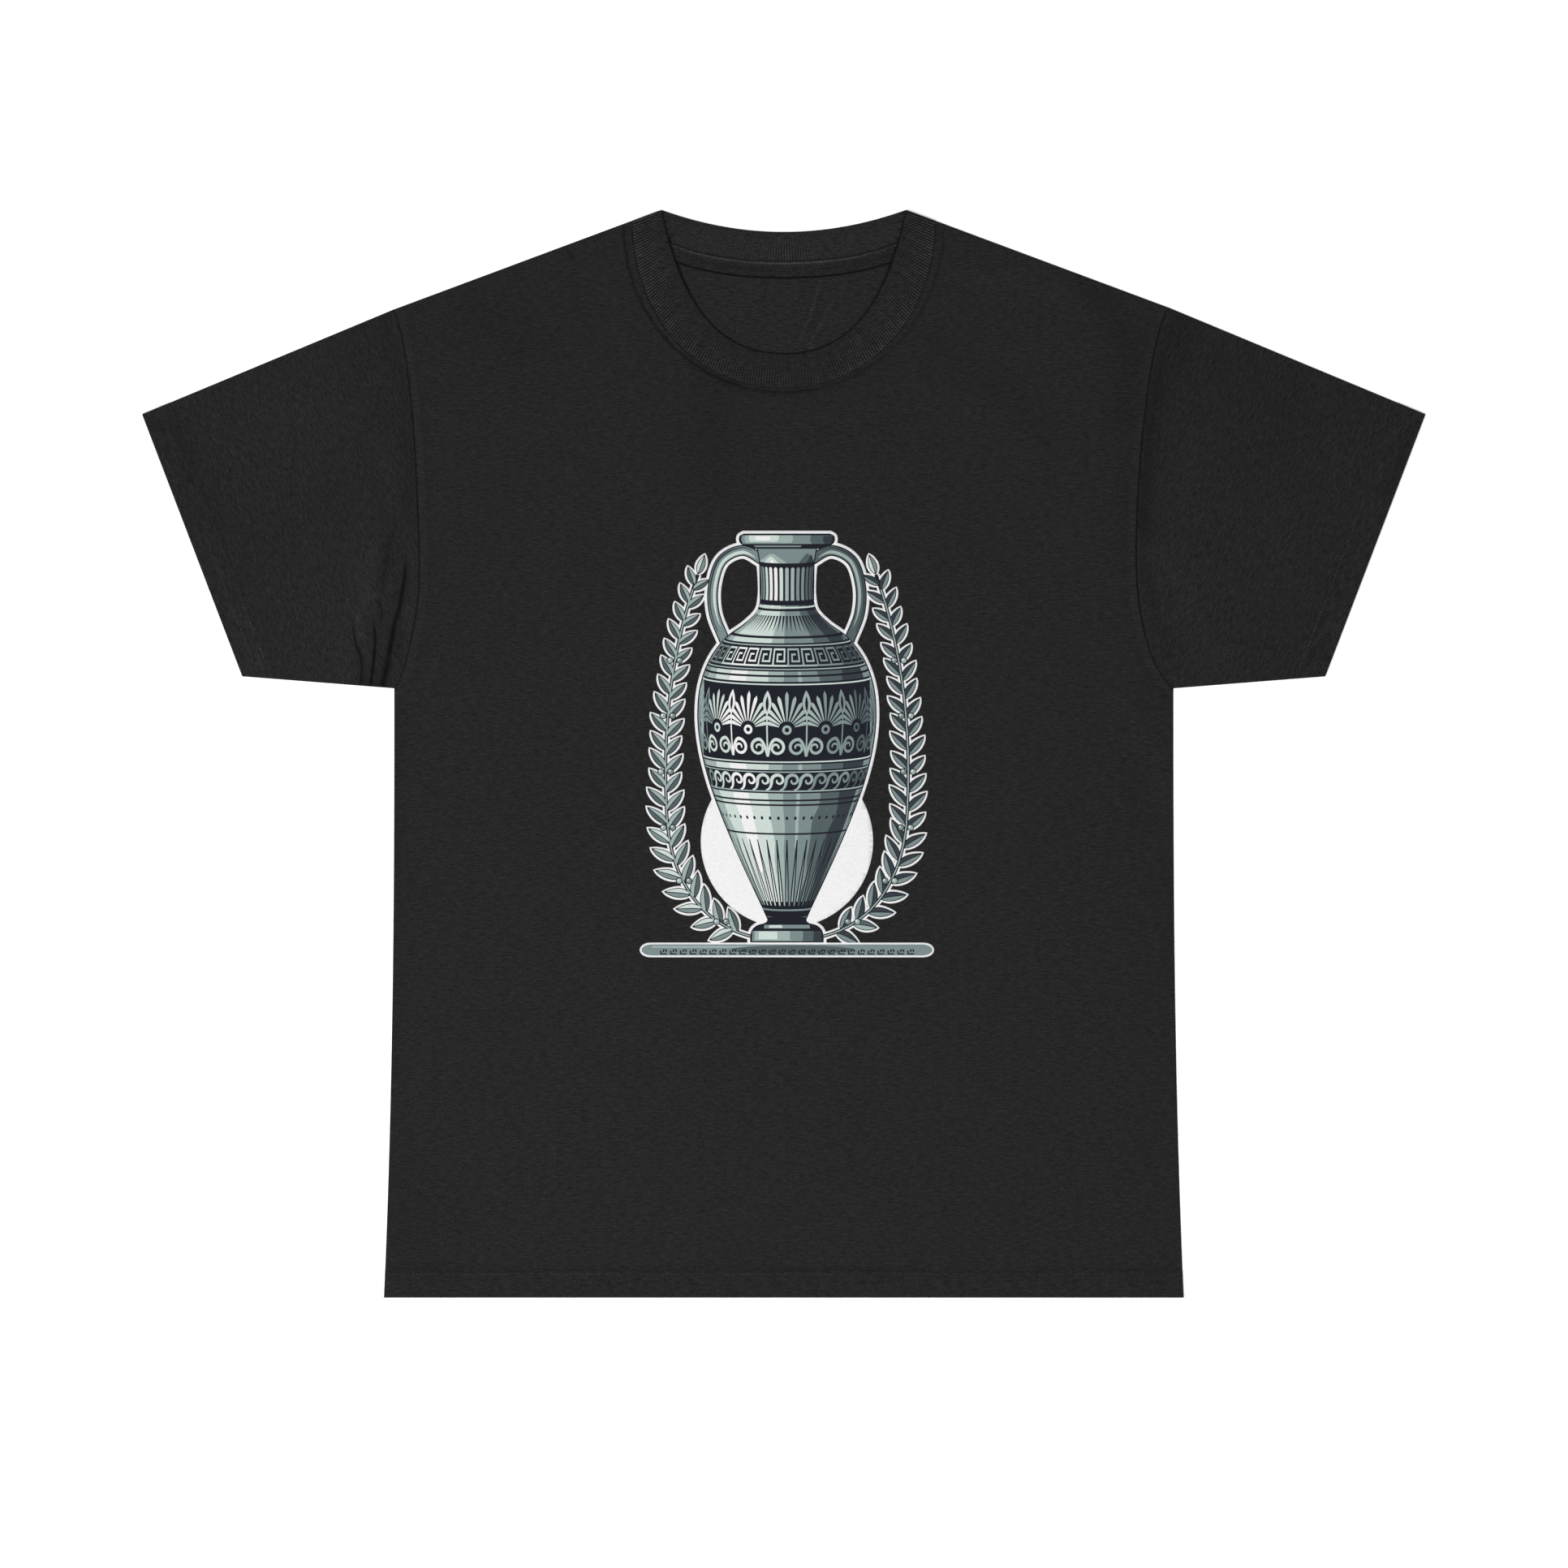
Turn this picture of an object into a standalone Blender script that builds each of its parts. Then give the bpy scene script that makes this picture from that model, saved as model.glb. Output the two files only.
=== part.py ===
"""Short-sleeved crew-neck T-shirt, lying flat on its back with its front up.

Metres, +Z up. The origin is under the middle of the shirt, on the surface it
lies on: +Y runs to the collar, -Y to the hem, +X to the wearer's left sleeve.
Six sewn pieces: front panel, back panel, two sleeves, the neck rib and the
neck tape. Sewn edges keep a 0.3 mm gap, so each piece is a solid of its own.
"""
import math

import bmesh
import bpy
from mathutils import Vector

# ---------------------------------------------------------------- main sizes
HALF_LENGTH = 0.3851          # neck point to hem is twice this
HALF_CHEST = 0.2759           # at the armpits
HEM_FLARE = 0.0073            # how much wider each side is at the hem
NECK_POINT = (0.08625, 0.3851)    # top of the collar at the shoulder fold
SHOULDER_SLOPE = -0.3709      # dy/dx of both shoulder folds
ARMPIT_Y = 0.0464
SLEEVE_TIP = (0.4544, 0.2405)     # outer end of the sleeve's top fold
CUFF_LOW = (0.3834, 0.0548)       # outer end of the underarm edge
SEAM_GAP = 0.0003             # between any two sewn pieces

# layers, from the surface up
JERSEY = 0.0007               # one layer of jersey
RIB = 0.0014                  # the rib is folded double
TAPE = 0.0005
FRONT_Z = JERSEY + SEAM_GAP   # underside of the front layer

# hems are turned once, so they hold two layers
HEM_DEPTH = 0.0185
CUFF_DEPTH = 0.0210
HEM_RAMP = 0.008              # run over which a panel climbs onto its hem

# neck rib: free edge and seam edge as cubic curves, right half of the front
RIB_FREE = ((0.08625, 0.3851), (0.07475, 0.3319), (0.0546, 0.2833), (0.0, 0.2833))
RIB_SEAM = ((0.10724, 0.3773), (0.10724, 0.3141), (0.0661, 0.2592), (0.0, 0.2592))
BACK_FREE = (0.3696, 2.084)            # y at the centre, x^2 term
BACK_SEAM = (0.3485, 1.5443, 84.0)     # y at the centre, x^2 and x^4 terms
FOLD_AXIS_Z = 0.0016          # axis about which the rib turns over at the shoulder
FOLD_OUTER = 0.0016
FOLD_INNER = 0.0002
TAPE_WIDTH = 0.0110
TAPE_HALF_LENGTH = 0.096

# armhole seams, two cubic curves each, x measured outwards from the middle
ARMHOLE_LEFT = (
    ((0.27686, 0.3144), (0.26076, 0.2856), (0.25818, 0.1499), (0.25818, 0.1246)),
    ((0.25818, 0.1246), (0.25818, 0.1016), (0.26896, 0.0522), (HALF_CHEST, ARMPIT_Y)),
)
ARMHOLE_RIGHT = (
    ((0.27310, 0.3158), (0.25930, 0.2985), (0.24967, 0.2000), (0.24967, 0.1402)),
    ((0.24967, 0.1402), (0.24967, 0.1200), (0.25240, 0.0666), (HALF_CHEST, ARMPIT_Y)),
)

# ------------------------------------------------------------------ helpers


def cubic(points, n, first=0.0, last=1.0):
    """n + 1 points of a cubic Bezier between two of its parameters."""
    p0, p1, p2, p3 = points
    out = []
    for i in range(n + 1):
        t = first + (last - first) * i / n
        a, b, c, d = (1 - t) ** 3, 3 * (1 - t) ** 2 * t, 3 * (1 - t) * t * t, t ** 3
        out.append((a * p0[0] + b * p1[0] + c * p2[0] + d * p3[0],
                    a * p0[1] + b * p1[1] + c * p2[1] + d * p3[1]))
    return out


def shifted(points, amount):
    """A polyline moved sideways, to the left of its direction for amount > 0."""
    out = []
    last = len(points) - 1
    for i, (x, y) in enumerate(points):
        ax, ay = points[max(i - 1, 0)]
        bx, by = points[min(i + 1, last)]
        length = math.hypot(bx - ax, by - ay)
        step = amount(i / last) if callable(amount) else amount
        out.append((x - (by - ay) / length * step, y + (bx - ax) / length * step))
    return out


def even(points, fractions):
    """Points at the given fractions of a polyline's length."""
    run = [0.0]
    for (ax, ay), (bx, by) in zip(points, points[1:]):
        run.append(run[-1] + math.hypot(bx - ax, by - ay))
    out, k = [], 0
    for f in fractions:
        want = f * run[-1]
        while k < len(run) - 2 and run[k + 1] < want:
            k += 1
        s = (want - run[k]) / (run[k + 1] - run[k])
        out.append((points[k][0] + s * (points[k + 1][0] - points[k][0]),
                    points[k][1] + s * (points[k + 1][1] - points[k][1])))
    return out


def flip(points):
    return [(-x, y) for x, y in points]


def smooth(t):
    t = min(max(t, 0.0), 1.0)
    return t * t * (3 - 2 * t)


def side_x(y):
    """Half width of the body at y, below the armpits."""
    return HALF_CHEST + HEM_FLARE * max(0.0, (ARMPIT_Y - y) / (ARMPIT_Y + HALF_LENGTH)) ** 2.6


def back_free_y(x):
    return BACK_FREE[0] + BACK_FREE[1] * x * x


def back_seam_y(x):
    return BACK_SEAM[0] + BACK_SEAM[1] * x * x + BACK_SEAM[2] * x ** 4


def armhole(curves, n=14):
    upper, lower = curves
    return cubic(upper, n) + cubic(lower, n)[1:]


def cloth_material(name, rgb, roughness):
    mat = bpy.data.materials.new(name)
    mat.use_nodes = True
    shader = mat.node_tree.nodes["Principled BSDF"]
    shader.inputs["Base Color"].default_value = (*rgb, 1.0)
    shader.inputs["Roughness"].default_value = roughness
    shader.inputs["Metallic"].default_value = 0.0
    return mat


def finish_mesh(name, bm, material):
    bmesh.ops.triangulate(bm, faces=[f for f in bm.faces if len(f.verts) > 3],
                          ngon_method="EAR_CLIP")
    bmesh.ops.recalc_face_normals(bm, faces=bm.faces)
    mesh = bpy.data.meshes.new(name)
    bm.to_mesh(mesh)
    bm.free()
    mesh.materials.append(material)
    obj = bpy.data.objects.new(name, mesh)
    bpy.context.collection.objects.link(obj)
    return obj


# ------------------------------------------------------------------- pieces


def panel(name, neckline, under, over, material):
    """A body panel. neckline runs from left to right; under and over are the
    heights of its two faces in the body, and at the hem."""
    top_of_hem = -HALF_LENGTH + HEM_DEPTH
    ramp = top_of_hem + HEM_RAMP
    half_gap = SEAM_GAP / 2
    left = shifted(flip(armhole(ARMHOLE_LEFT)), half_gap)
    right = shifted(armhole(ARMHOLE_RIGHT), -half_gap)
    sides = [ARMPIT_Y - 0.004 + (ramp - ARMPIT_Y + 0.004) * i / 10 for i in range(11)]
    outline = [(-side_x(y), y) for y in reversed(sides)]
    outline += list(reversed(left)) + neckline + right
    outline += [(side_x(y), y) for y in sides]

    bm = bmesh.new()

    def pair(x, y, level):
        return (bm.verts.new((x, y, under[level])), bm.verts.new((x, y, over[level])))

    body = [pair(x, y, 0) for x, y in outline]
    rows = [(body[0], body[-1])]
    for y in (top_of_hem, -HALF_LENGTH):
        rows.append((pair(-side_x(y), y, 1), pair(side_x(y), y, 1)))
    for face in (0, 1):
        bm.faces.new([v[face] for v in body])
        for (a, b), (c, d) in zip(rows, rows[1:]):
            bm.faces.new((a[face], b[face], d[face], c[face]))
    rim = body + [rows[1][1], rows[2][1], rows[2][0], rows[1][0]]
    for a, b in zip(rim, rim[1:] + rim[:1]):
        bm.faces.new((a[0], b[0], b[1], a[1]))
    return finish_mesh(name, bm, material)


def sleeve(name, curves, sign, material):
    """A sleeve pressed flat: a tube with a thin slit inside, closed along its
    top fold and its underarm edge, and open at the armhole and at the cuff."""
    columns = 26
    margin = 0.016
    fractions = [0.0] + [margin + (1 - 2 * margin) * i / columns for i in range(columns + 1)] + [1.0]
    seam = even(shifted(armhole(curves), SEAM_GAP / 2), fractions)
    tip, low = Vector(SLEEVE_TIP), Vector(CUFF_LOW)
    along = (low - tip).normalized()
    levels = ((0.0, JERSEY, FRONT_Z, FRONT_Z + JERSEY),
              (0.0, JERSEY, FRONT_Z, FRONT_Z + JERSEY),
              (0.0, 2 * JERSEY, 2 * JERSEY + SEAM_GAP, 4 * JERSEY + SEAM_GAP),
              (0.0, 2 * JERSEY, 2 * JERSEY + SEAM_GAP, 4 * JERSEY + SEAM_GAP))
    bm = bmesh.new()
    grid = {}
    for i, f in enumerate(fractions):
        start, end = Vector(seam[i]), tip.lerp(low, f)
        reach = abs((start - end).x * along.y - (start - end).y * along.x)
        for j, depth in enumerate((reach, CUFF_DEPTH + HEM_RAMP, CUFF_DEPTH, 0.0)):
            p = end.lerp(start, depth / reach)
            for k in range(4):
                grid[i, j, k] = bm.verts.new((sign * p.x, p.y, levels[j][k]))

    def solid(i, k):
        return 0 <= i < columns + 2 and 0 <= k < 3 and (k != 1 or i in (0, columns + 1))

    for i in range(columns + 2):
        for k in range(3):
            if not solid(i, k):
                continue
            for j in range(3):
                for near, at in ((solid(i - 1, k), i), (solid(i + 1, k), i + 1)):
                    if not near:
                        bm.faces.new([grid[at, j, k], grid[at, j + 1, k],
                                      grid[at, j + 1, k + 1], grid[at, j, k + 1]])
                for near, at in ((solid(i, k - 1), k), (solid(i, k + 1), k + 1)):
                    if not near:
                        bm.faces.new([grid[i, j, at], grid[i + 1, j, at],
                                      grid[i + 1, j + 1, at], grid[i, j + 1, at]])
            for j in (0, 3):
                bm.faces.new([grid[i, j, k], grid[i + 1, j, k],
                              grid[i + 1, j, k + 1], grid[i, j, k + 1]])
    loose = [v for v in bm.verts if not v.link_faces]
    bmesh.ops.delete(bm, geom=loose, context="VERTS")
    return finish_mesh(name, bm, material)


def neck_rib(material):
    """One closed ring of rib, folded double. It lies on top in front, turns
    over at each shoulder and runs below across the back of the neck."""
    start = 0.0095            # where the curves leave the shoulder fold
    n = 26
    free = cubic(RIB_FREE, n, start)
    seam = cubic(RIB_SEAM, n, start * 0.88)

    def front(x0, y0, x1, y1, t):
        # the ends lie on the back rib and the tape, the middle on the panel
        base = FRONT_Z + (FOLD_AXIS_Z + FOLD_INNER - FRONT_Z) * (1 - smooth((t - 0.33) / 0.2))
        return [(x0, y0, base + RIB), (x1, y1, base + RIB), (x1, y1, base), (x0, y0, base)]

    rings = []
    for i in range(n + 1):
        rings.append(front(-free[i][0], free[i][1], -seam[i][0], seam[i][1], i / n))
    for i in range(n - 1, -1, -1):
        rings.append(front(free[i][0], free[i][1], seam[i][0], seam[i][1], i / n))

    def turn(sign, order):
        a, b = Vector(free[0]), Vector(seam[0])
        d = (b - a).normalized()
        out = Vector((-d.y, d.x))
        for angle in order:
            c, s = math.cos(math.radians(angle)), math.sin(math.radians(angle))
            ring = []
            for p, r in ((a, FOLD_OUTER), (b, FOLD_OUTER), (b, FOLD_INNER), (a, FOLD_INNER)):
                q = p + out * (r * s)
                ring.append((sign * q.x, q.y, FOLD_AXIS_Z + r * c))
            rings.append(ring)

    turn(1, (45, 90, 135, 180))
    m = 24
    for i in range(1, 2 * m):
        s = 1 - i / m
        x0, x1 = NECK_POINT[0] * s, RIB_SEAM[0][0] * s
        y0, y1 = back_free_y(x0), back_seam_y(x1)
        rings.append([(x0, y0, 0.0), (x1, y1, 0.0), (x1, y1, RIB), (x0, y0, RIB)])
    turn(-1, (180, 135, 90, 45))

    bm = bmesh.new()
    loops = [[bm.verts.new(p) for p in ring] for ring in rings]
    for a, b in zip(loops, loops[1:] + loops[:1]):
        for k in range(4):
            bm.faces.new((a[k], a[(k + 1) % 4], b[(k + 1) % 4], b[k]))
    return finish_mesh("neck_rib", bm, material)


def neck_tape(material):
    """A narrow tape sewn over the seam inside the back of the neck."""
    n = 40
    xs = [TAPE_HALF_LENGTH * (2 * i / n - 1) for i in range(n + 1)]
    seam = [(x, back_seam_y(x)) for x in xs]
    upper = shifted(seam, -SEAM_GAP)
    lower = shifted(seam, -SEAM_GAP - TAPE_WIDTH)
    bm = bmesh.new()
    cols = [[bm.verts.new((u[0], u[1], FRONT_Z)), bm.verts.new((w[0], w[1], FRONT_Z)),
             bm.verts.new((w[0], w[1], FRONT_Z + TAPE)), bm.verts.new((u[0], u[1], FRONT_Z + TAPE))]
            for u, w in zip(upper, lower)]
    for a, b in zip(cols, cols[1:]):
        for k in range(4):
            bm.faces.new((a[k], a[(k + 1) % 4], b[(k + 1) % 4], b[k]))
    bm.faces.new(cols[0])
    bm.faces.new(cols[-1])
    return finish_mesh("neck_tape", bm, material)


def main():
    for obj in list(bpy.data.objects):
        bpy.data.objects.remove(obj, do_unlink=True)

    # necklines of the panels, left to right, clear of the rib's seam edge
    def neck_gap(f):
        return SEAM_GAP + 0.0012 * max(0.0, 1 - min(f, 1 - f) / 0.06)

    half = cubic(RIB_SEAM, 26)
    front_neck = shifted(flip(half)[:-1] + list(reversed(half)), lambda f: -neck_gap(f))
    m = 22
    xs = [RIB_SEAM[0][0] * (i / m - 1) for i in range(2 * m + 1)]
    back_neck = shifted([(x, back_seam_y(x)) for x in xs], lambda f: -neck_gap(f))

    panel("front_panel", front_neck, (FRONT_Z, 2 * JERSEY + SEAM_GAP),
          (FRONT_Z + JERSEY, 4 * JERSEY + SEAM_GAP),
          cloth_material("front_jersey", (0.020, 0.020, 0.020), 0.92))
    panel("back_panel", back_neck, (0.0, 0.0), (JERSEY, 2 * JERSEY),
          cloth_material("back_jersey", (0.019, 0.019, 0.020), 0.92))
    sleeve("left_sleeve", ARMHOLE_LEFT, -1, cloth_material("left_sleeve_jersey", (0.020, 0.020, 0.021), 0.92))
    sleeve("right_sleeve", ARMHOLE_RIGHT, 1, cloth_material("right_sleeve_jersey", (0.020, 0.020, 0.021), 0.92))
    neck_rib(cloth_material("rib_knit", (0.018, 0.018, 0.018), 0.95))
    neck_tape(cloth_material("tape_weave", (0.018, 0.018, 0.018), 0.90))


main()
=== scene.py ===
"""Looks of a short-sleeved crew-neck T-shirt, laid flat on its back, front up.

Metres, +Z up: +Y runs to the collar, +X to the sleeve on the right as seen from
above. Each sewn piece is a closed mesh of cloth with its own seams, hems and
creases; stitches and the chest print are pieces on top of them.
"""
import math

import bpy
import numpy as np
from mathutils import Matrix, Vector
from mathutils.geometry import delaunay_2d_cdt


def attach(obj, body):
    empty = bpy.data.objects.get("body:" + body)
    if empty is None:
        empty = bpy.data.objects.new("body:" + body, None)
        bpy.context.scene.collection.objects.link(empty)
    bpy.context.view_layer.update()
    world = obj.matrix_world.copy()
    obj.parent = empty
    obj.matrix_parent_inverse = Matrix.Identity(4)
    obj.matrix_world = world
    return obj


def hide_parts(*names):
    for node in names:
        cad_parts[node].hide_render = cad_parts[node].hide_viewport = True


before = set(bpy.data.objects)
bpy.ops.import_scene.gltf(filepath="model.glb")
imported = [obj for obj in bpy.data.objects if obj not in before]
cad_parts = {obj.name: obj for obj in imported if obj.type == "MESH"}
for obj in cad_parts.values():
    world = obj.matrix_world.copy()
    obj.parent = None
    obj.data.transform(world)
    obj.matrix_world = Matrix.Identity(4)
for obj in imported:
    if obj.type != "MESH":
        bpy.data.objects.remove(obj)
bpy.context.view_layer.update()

MM = 0.001
BODY = "root"

# ------------------------------------------------- sizes, as in the solid model
HALF_LENGTH = 0.3851
HALF_CHEST = 0.2759
HEM_FLARE = 0.0073
NECK_POINT = (0.08625, 0.3851)
ARMPIT_Y = 0.0464
SLEEVE_TIP = (0.4544, 0.2405)
CUFF_LOW = (0.3834, 0.0548)
SEAM_LAP = 0.00008              # each sleeve reaches this far under the body's edge
RIB_FREE = ((0.08625, 0.3851), (0.07475, 0.3319), (0.0546, 0.2833), (0.0, 0.2833))
RIB_SEAM = ((0.10724, 0.3773), (0.10724, 0.3141), (0.0661, 0.2592), (0.0, 0.2592))
BACK_FREE = (0.3696, 2.084)
BACK_SEAM = (0.3485, 1.5443, 84.0)
ARMHOLE_LEFT = (
    ((0.27686, 0.3144), (0.26076, 0.2856), (0.25818, 0.1499), (0.25818, 0.1246)),
    ((0.25818, 0.1246), (0.25818, 0.1016), (0.26896, 0.0522), (HALF_CHEST, ARMPIT_Y)),
)
ARMHOLE_RIGHT = (
    ((0.27310, 0.3158), (0.25930, 0.2985), (0.24967, 0.2000), (0.24967, 0.1402)),
    ((0.24967, 0.1402), (0.24967, 0.1200), (0.25240, 0.0666), (HALF_CHEST, ARMPIT_Y)),
)
FOLD_AXIS_Z = 0.0016
FOLD_INNER = 0.0002
RIB = 0.0014
RIB_PITCH = 0.00185
TAPE_WIDTH = 0.0110
TAPE_HALF_LENGTH = 0.096

# rows of stitches, from the edge
HEM_ROWS = (0.0110, 0.0167)
CUFF_ROWS = (0.0110, 0.0190)
HEM_TURN = 0.0185             # where the turned-in edge ends
CUFF_TURN = 0.0208
STITCH_PITCH = 0.0028

# heights in the flat parts
FRONT_TOP = 0.00162
FRONT_UNDER = 0.00096
BACK_TOP = 0.00066
FOLD_MID = 0.00080
HEM_RISE = 0.00118            # the second layer in a hem


# ------------------------------------------------------------------ small tools

def cubic(points, n):
    t = np.linspace(0.0, 1.0, n + 1)[:, None]
    p = np.array(points, float)
    return (1 - t) ** 3 * p[0] + 3 * (1 - t) ** 2 * t * p[1] + 3 * (1 - t) * t * t * p[2] + t ** 3 * p[3]


def run_of(p):
    return np.concatenate([[0.0], np.cumsum(np.linalg.norm(np.diff(p, axis=0), axis=1))])


def at_run(p, s):
    run = run_of(p)
    return np.stack([np.interp(s, run, p[:, k]) for k in range(p.shape[1])], 1)


def spaced(p, step):
    total = run_of(p)[-1]
    n = max(1, int(round(total / step)))
    return at_run(p, np.linspace(0, total, n + 1))


def normals_left(p):
    d = np.empty_like(p)
    d[1:-1] = p[2:] - p[:-2]
    d[0], d[-1] = p[1] - p[0], p[-1] - p[-2]
    d /= np.maximum(np.linalg.norm(d, axis=1), 1e-12)[:, None]
    return np.stack([-d[:, 1], d[:, 0]], 1)


def shifted(p, amount):
    amount = np.asarray(amount, float)
    return p + normals_left(p) * (amount[:, None] if amount.ndim else amount)


def flipped(p):
    return p * np.array([-1.0, 1.0])


def ease(a, b, x):
    t = np.clip((np.asarray(x, float) - a) / (b - a), 0.0, 1.0)
    return t * t * (3 - 2 * t)


def bump(x, width):
    return np.exp(-(np.asarray(x) / width) ** 2)


def near(q, line):
    """Distance of each point to a polyline, and the run along it there."""
    a, b = line[:-1], line[1:]
    ab = b - a
    length = np.linalg.norm(ab, axis=1)
    start = run_of(line)[:-1]
    dist, along = np.empty(len(q)), np.empty(len(q))
    for i in range(0, len(q), 3000):
        p = q[i:i + 3000, None, :] - a[None]
        t = np.clip((p * ab).sum(2) / np.maximum(length ** 2, 1e-18), 0, 1)
        gap = p - t[..., None] * ab
        d = (gap ** 2).sum(2)
        k = d.argmin(1)
        rows = np.arange(len(k))
        dist[i:i + 3000] = np.sqrt(d[rows, k])
        along[i:i + 3000] = start[k] + t[rows, k] * length[k]
    return dist, along


def inside(q, loop):
    """Even-odd test against a closed loop of points."""
    hit = np.zeros(len(q), bool)
    x, y = q[:, 0], q[:, 1]
    for (ax, ay), (bx, by) in zip(loop, np.roll(loop, -1, axis=0)):
        if ay == by:
            continue
        cross = ((ay > y) != (by > y)) & (x < (bx - ax) * (y - ay) / (by - ay) + ax)
        hit ^= cross
    return hit


class Swell:
    """Slow, irregular waves: a seeded sum of sines, in a band of wavelengths."""

    def __init__(self, seed, shortest, longest, count, angle=None, spread=180.0):
        rng = np.random.default_rng(seed)
        wave = np.exp(rng.uniform(math.log(shortest), math.log(longest), count))
        turn = np.radians(rng.uniform(-spread / 2, spread / 2, count) + (angle or 0.0))
        self.kx, self.ky = np.cos(turn) * 2 * math.pi / wave, np.sin(turn) * 2 * math.pi / wave
        self.phase = rng.uniform(0, 2 * math.pi, count)
        self.size = (wave / longest) ** 0.7
        self.size /= math.sqrt((self.size ** 2).sum() / 2)

    def __call__(self, x, y):
        out = np.zeros(np.shape(x))
        for kx, ky, phase, size in zip(self.kx, self.ky, self.phase, self.size):
            out += size * np.sin(kx * x + ky * y + phase)
        return out


def side_x(y):
    return HALF_CHEST + HEM_FLARE * np.maximum(0.0, (ARMPIT_Y - y) / (ARMPIT_Y + HALF_LENGTH)) ** 2.6


def back_free_y(x):
    return BACK_FREE[0] + BACK_FREE[1] * x * x


def back_seam_y(x):
    return BACK_SEAM[0] + BACK_SEAM[1] * x * x + BACK_SEAM[2] * x ** 4


def armhole(curves, n=60):
    upper, lower = curves
    return np.concatenate([cubic(upper, n), cubic(lower, n)[1:]])


def mesh_object(name, verts, faces, materials, face_material=None, smooth=True, tone=None):
    """tone: painted light and shade at each point, multiplied into the colour; below 1 is painted shade, as deep in a
    groove, above 1 painted light.
    """
    mesh = bpy.data.meshes.new(name)
    mesh.from_pydata(np.asarray(verts, float).tolist(), [], [list(map(int, f)) for f in faces])
    mesh.update()
    for m in materials:
        mesh.materials.append(m)
    if face_material is not None:
        mesh.polygons.foreach_set("material_index", np.asarray(face_material, np.int32))
    mesh.polygons.foreach_set("use_smooth", np.full(len(mesh.polygons), smooth))
    layer = mesh.attributes.new("tone", "FLOAT", "POINT")
    layer.data.foreach_set("value", np.ones(len(verts), np.float32) if tone is None
                           else np.clip(np.asarray(tone, np.float32), 0.02, 3.0))
    obj = bpy.data.objects.new(name, mesh)
    bpy.context.scene.collection.objects.link(obj)
    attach(obj, BODY)
    return obj


def triangles(boundary, inner):
    """Triangles inside a closed boundary, through its own points and the inner
    ones. Points are numbered boundary first; triangles run anticlockwise."""
    pts = np.concatenate([boundary, inner]) * 1000.0
    n = len(boundary)
    edges = [(i, (i + 1) % n) for i in range(n)]
    verts, _, faces, origin, _, _ = delaunay_2d_cdt([Vector(p) for p in pts], edges, [], 1, 1e-5)
    lookup = np.full(len(verts), -1)
    extra = []
    for i, src in enumerate(origin):
        if src:
            lookup[i] = min(src)
        else:
            lookup[i] = len(pts) + len(extra)
            extra.append((verts[i].x, verts[i].y))
    if extra:
        pts = np.concatenate([pts, np.array(extra)])
    tri = lookup[np.array(faces, int)]
    a, b, c = pts[tri[:, 0]], pts[tri[:, 1]], pts[tri[:, 2]]
    area = (b[:, 0] - a[:, 0]) * (c[:, 1] - a[:, 1]) - (b[:, 1] - a[:, 1]) * (c[:, 0] - a[:, 0])
    tri[area < 0] = tri[area < 0][:, ::-1]
    return pts / 1000.0, tri


# ------------------------------------------------------------------- materials

def link(nt, a, b):
    nt.links.new(a, b)


def node(nt, kind, **values):
    n = nt.nodes.new(kind)
    for key, value in values.items():
        setattr(n, key, value)
    return n


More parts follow.
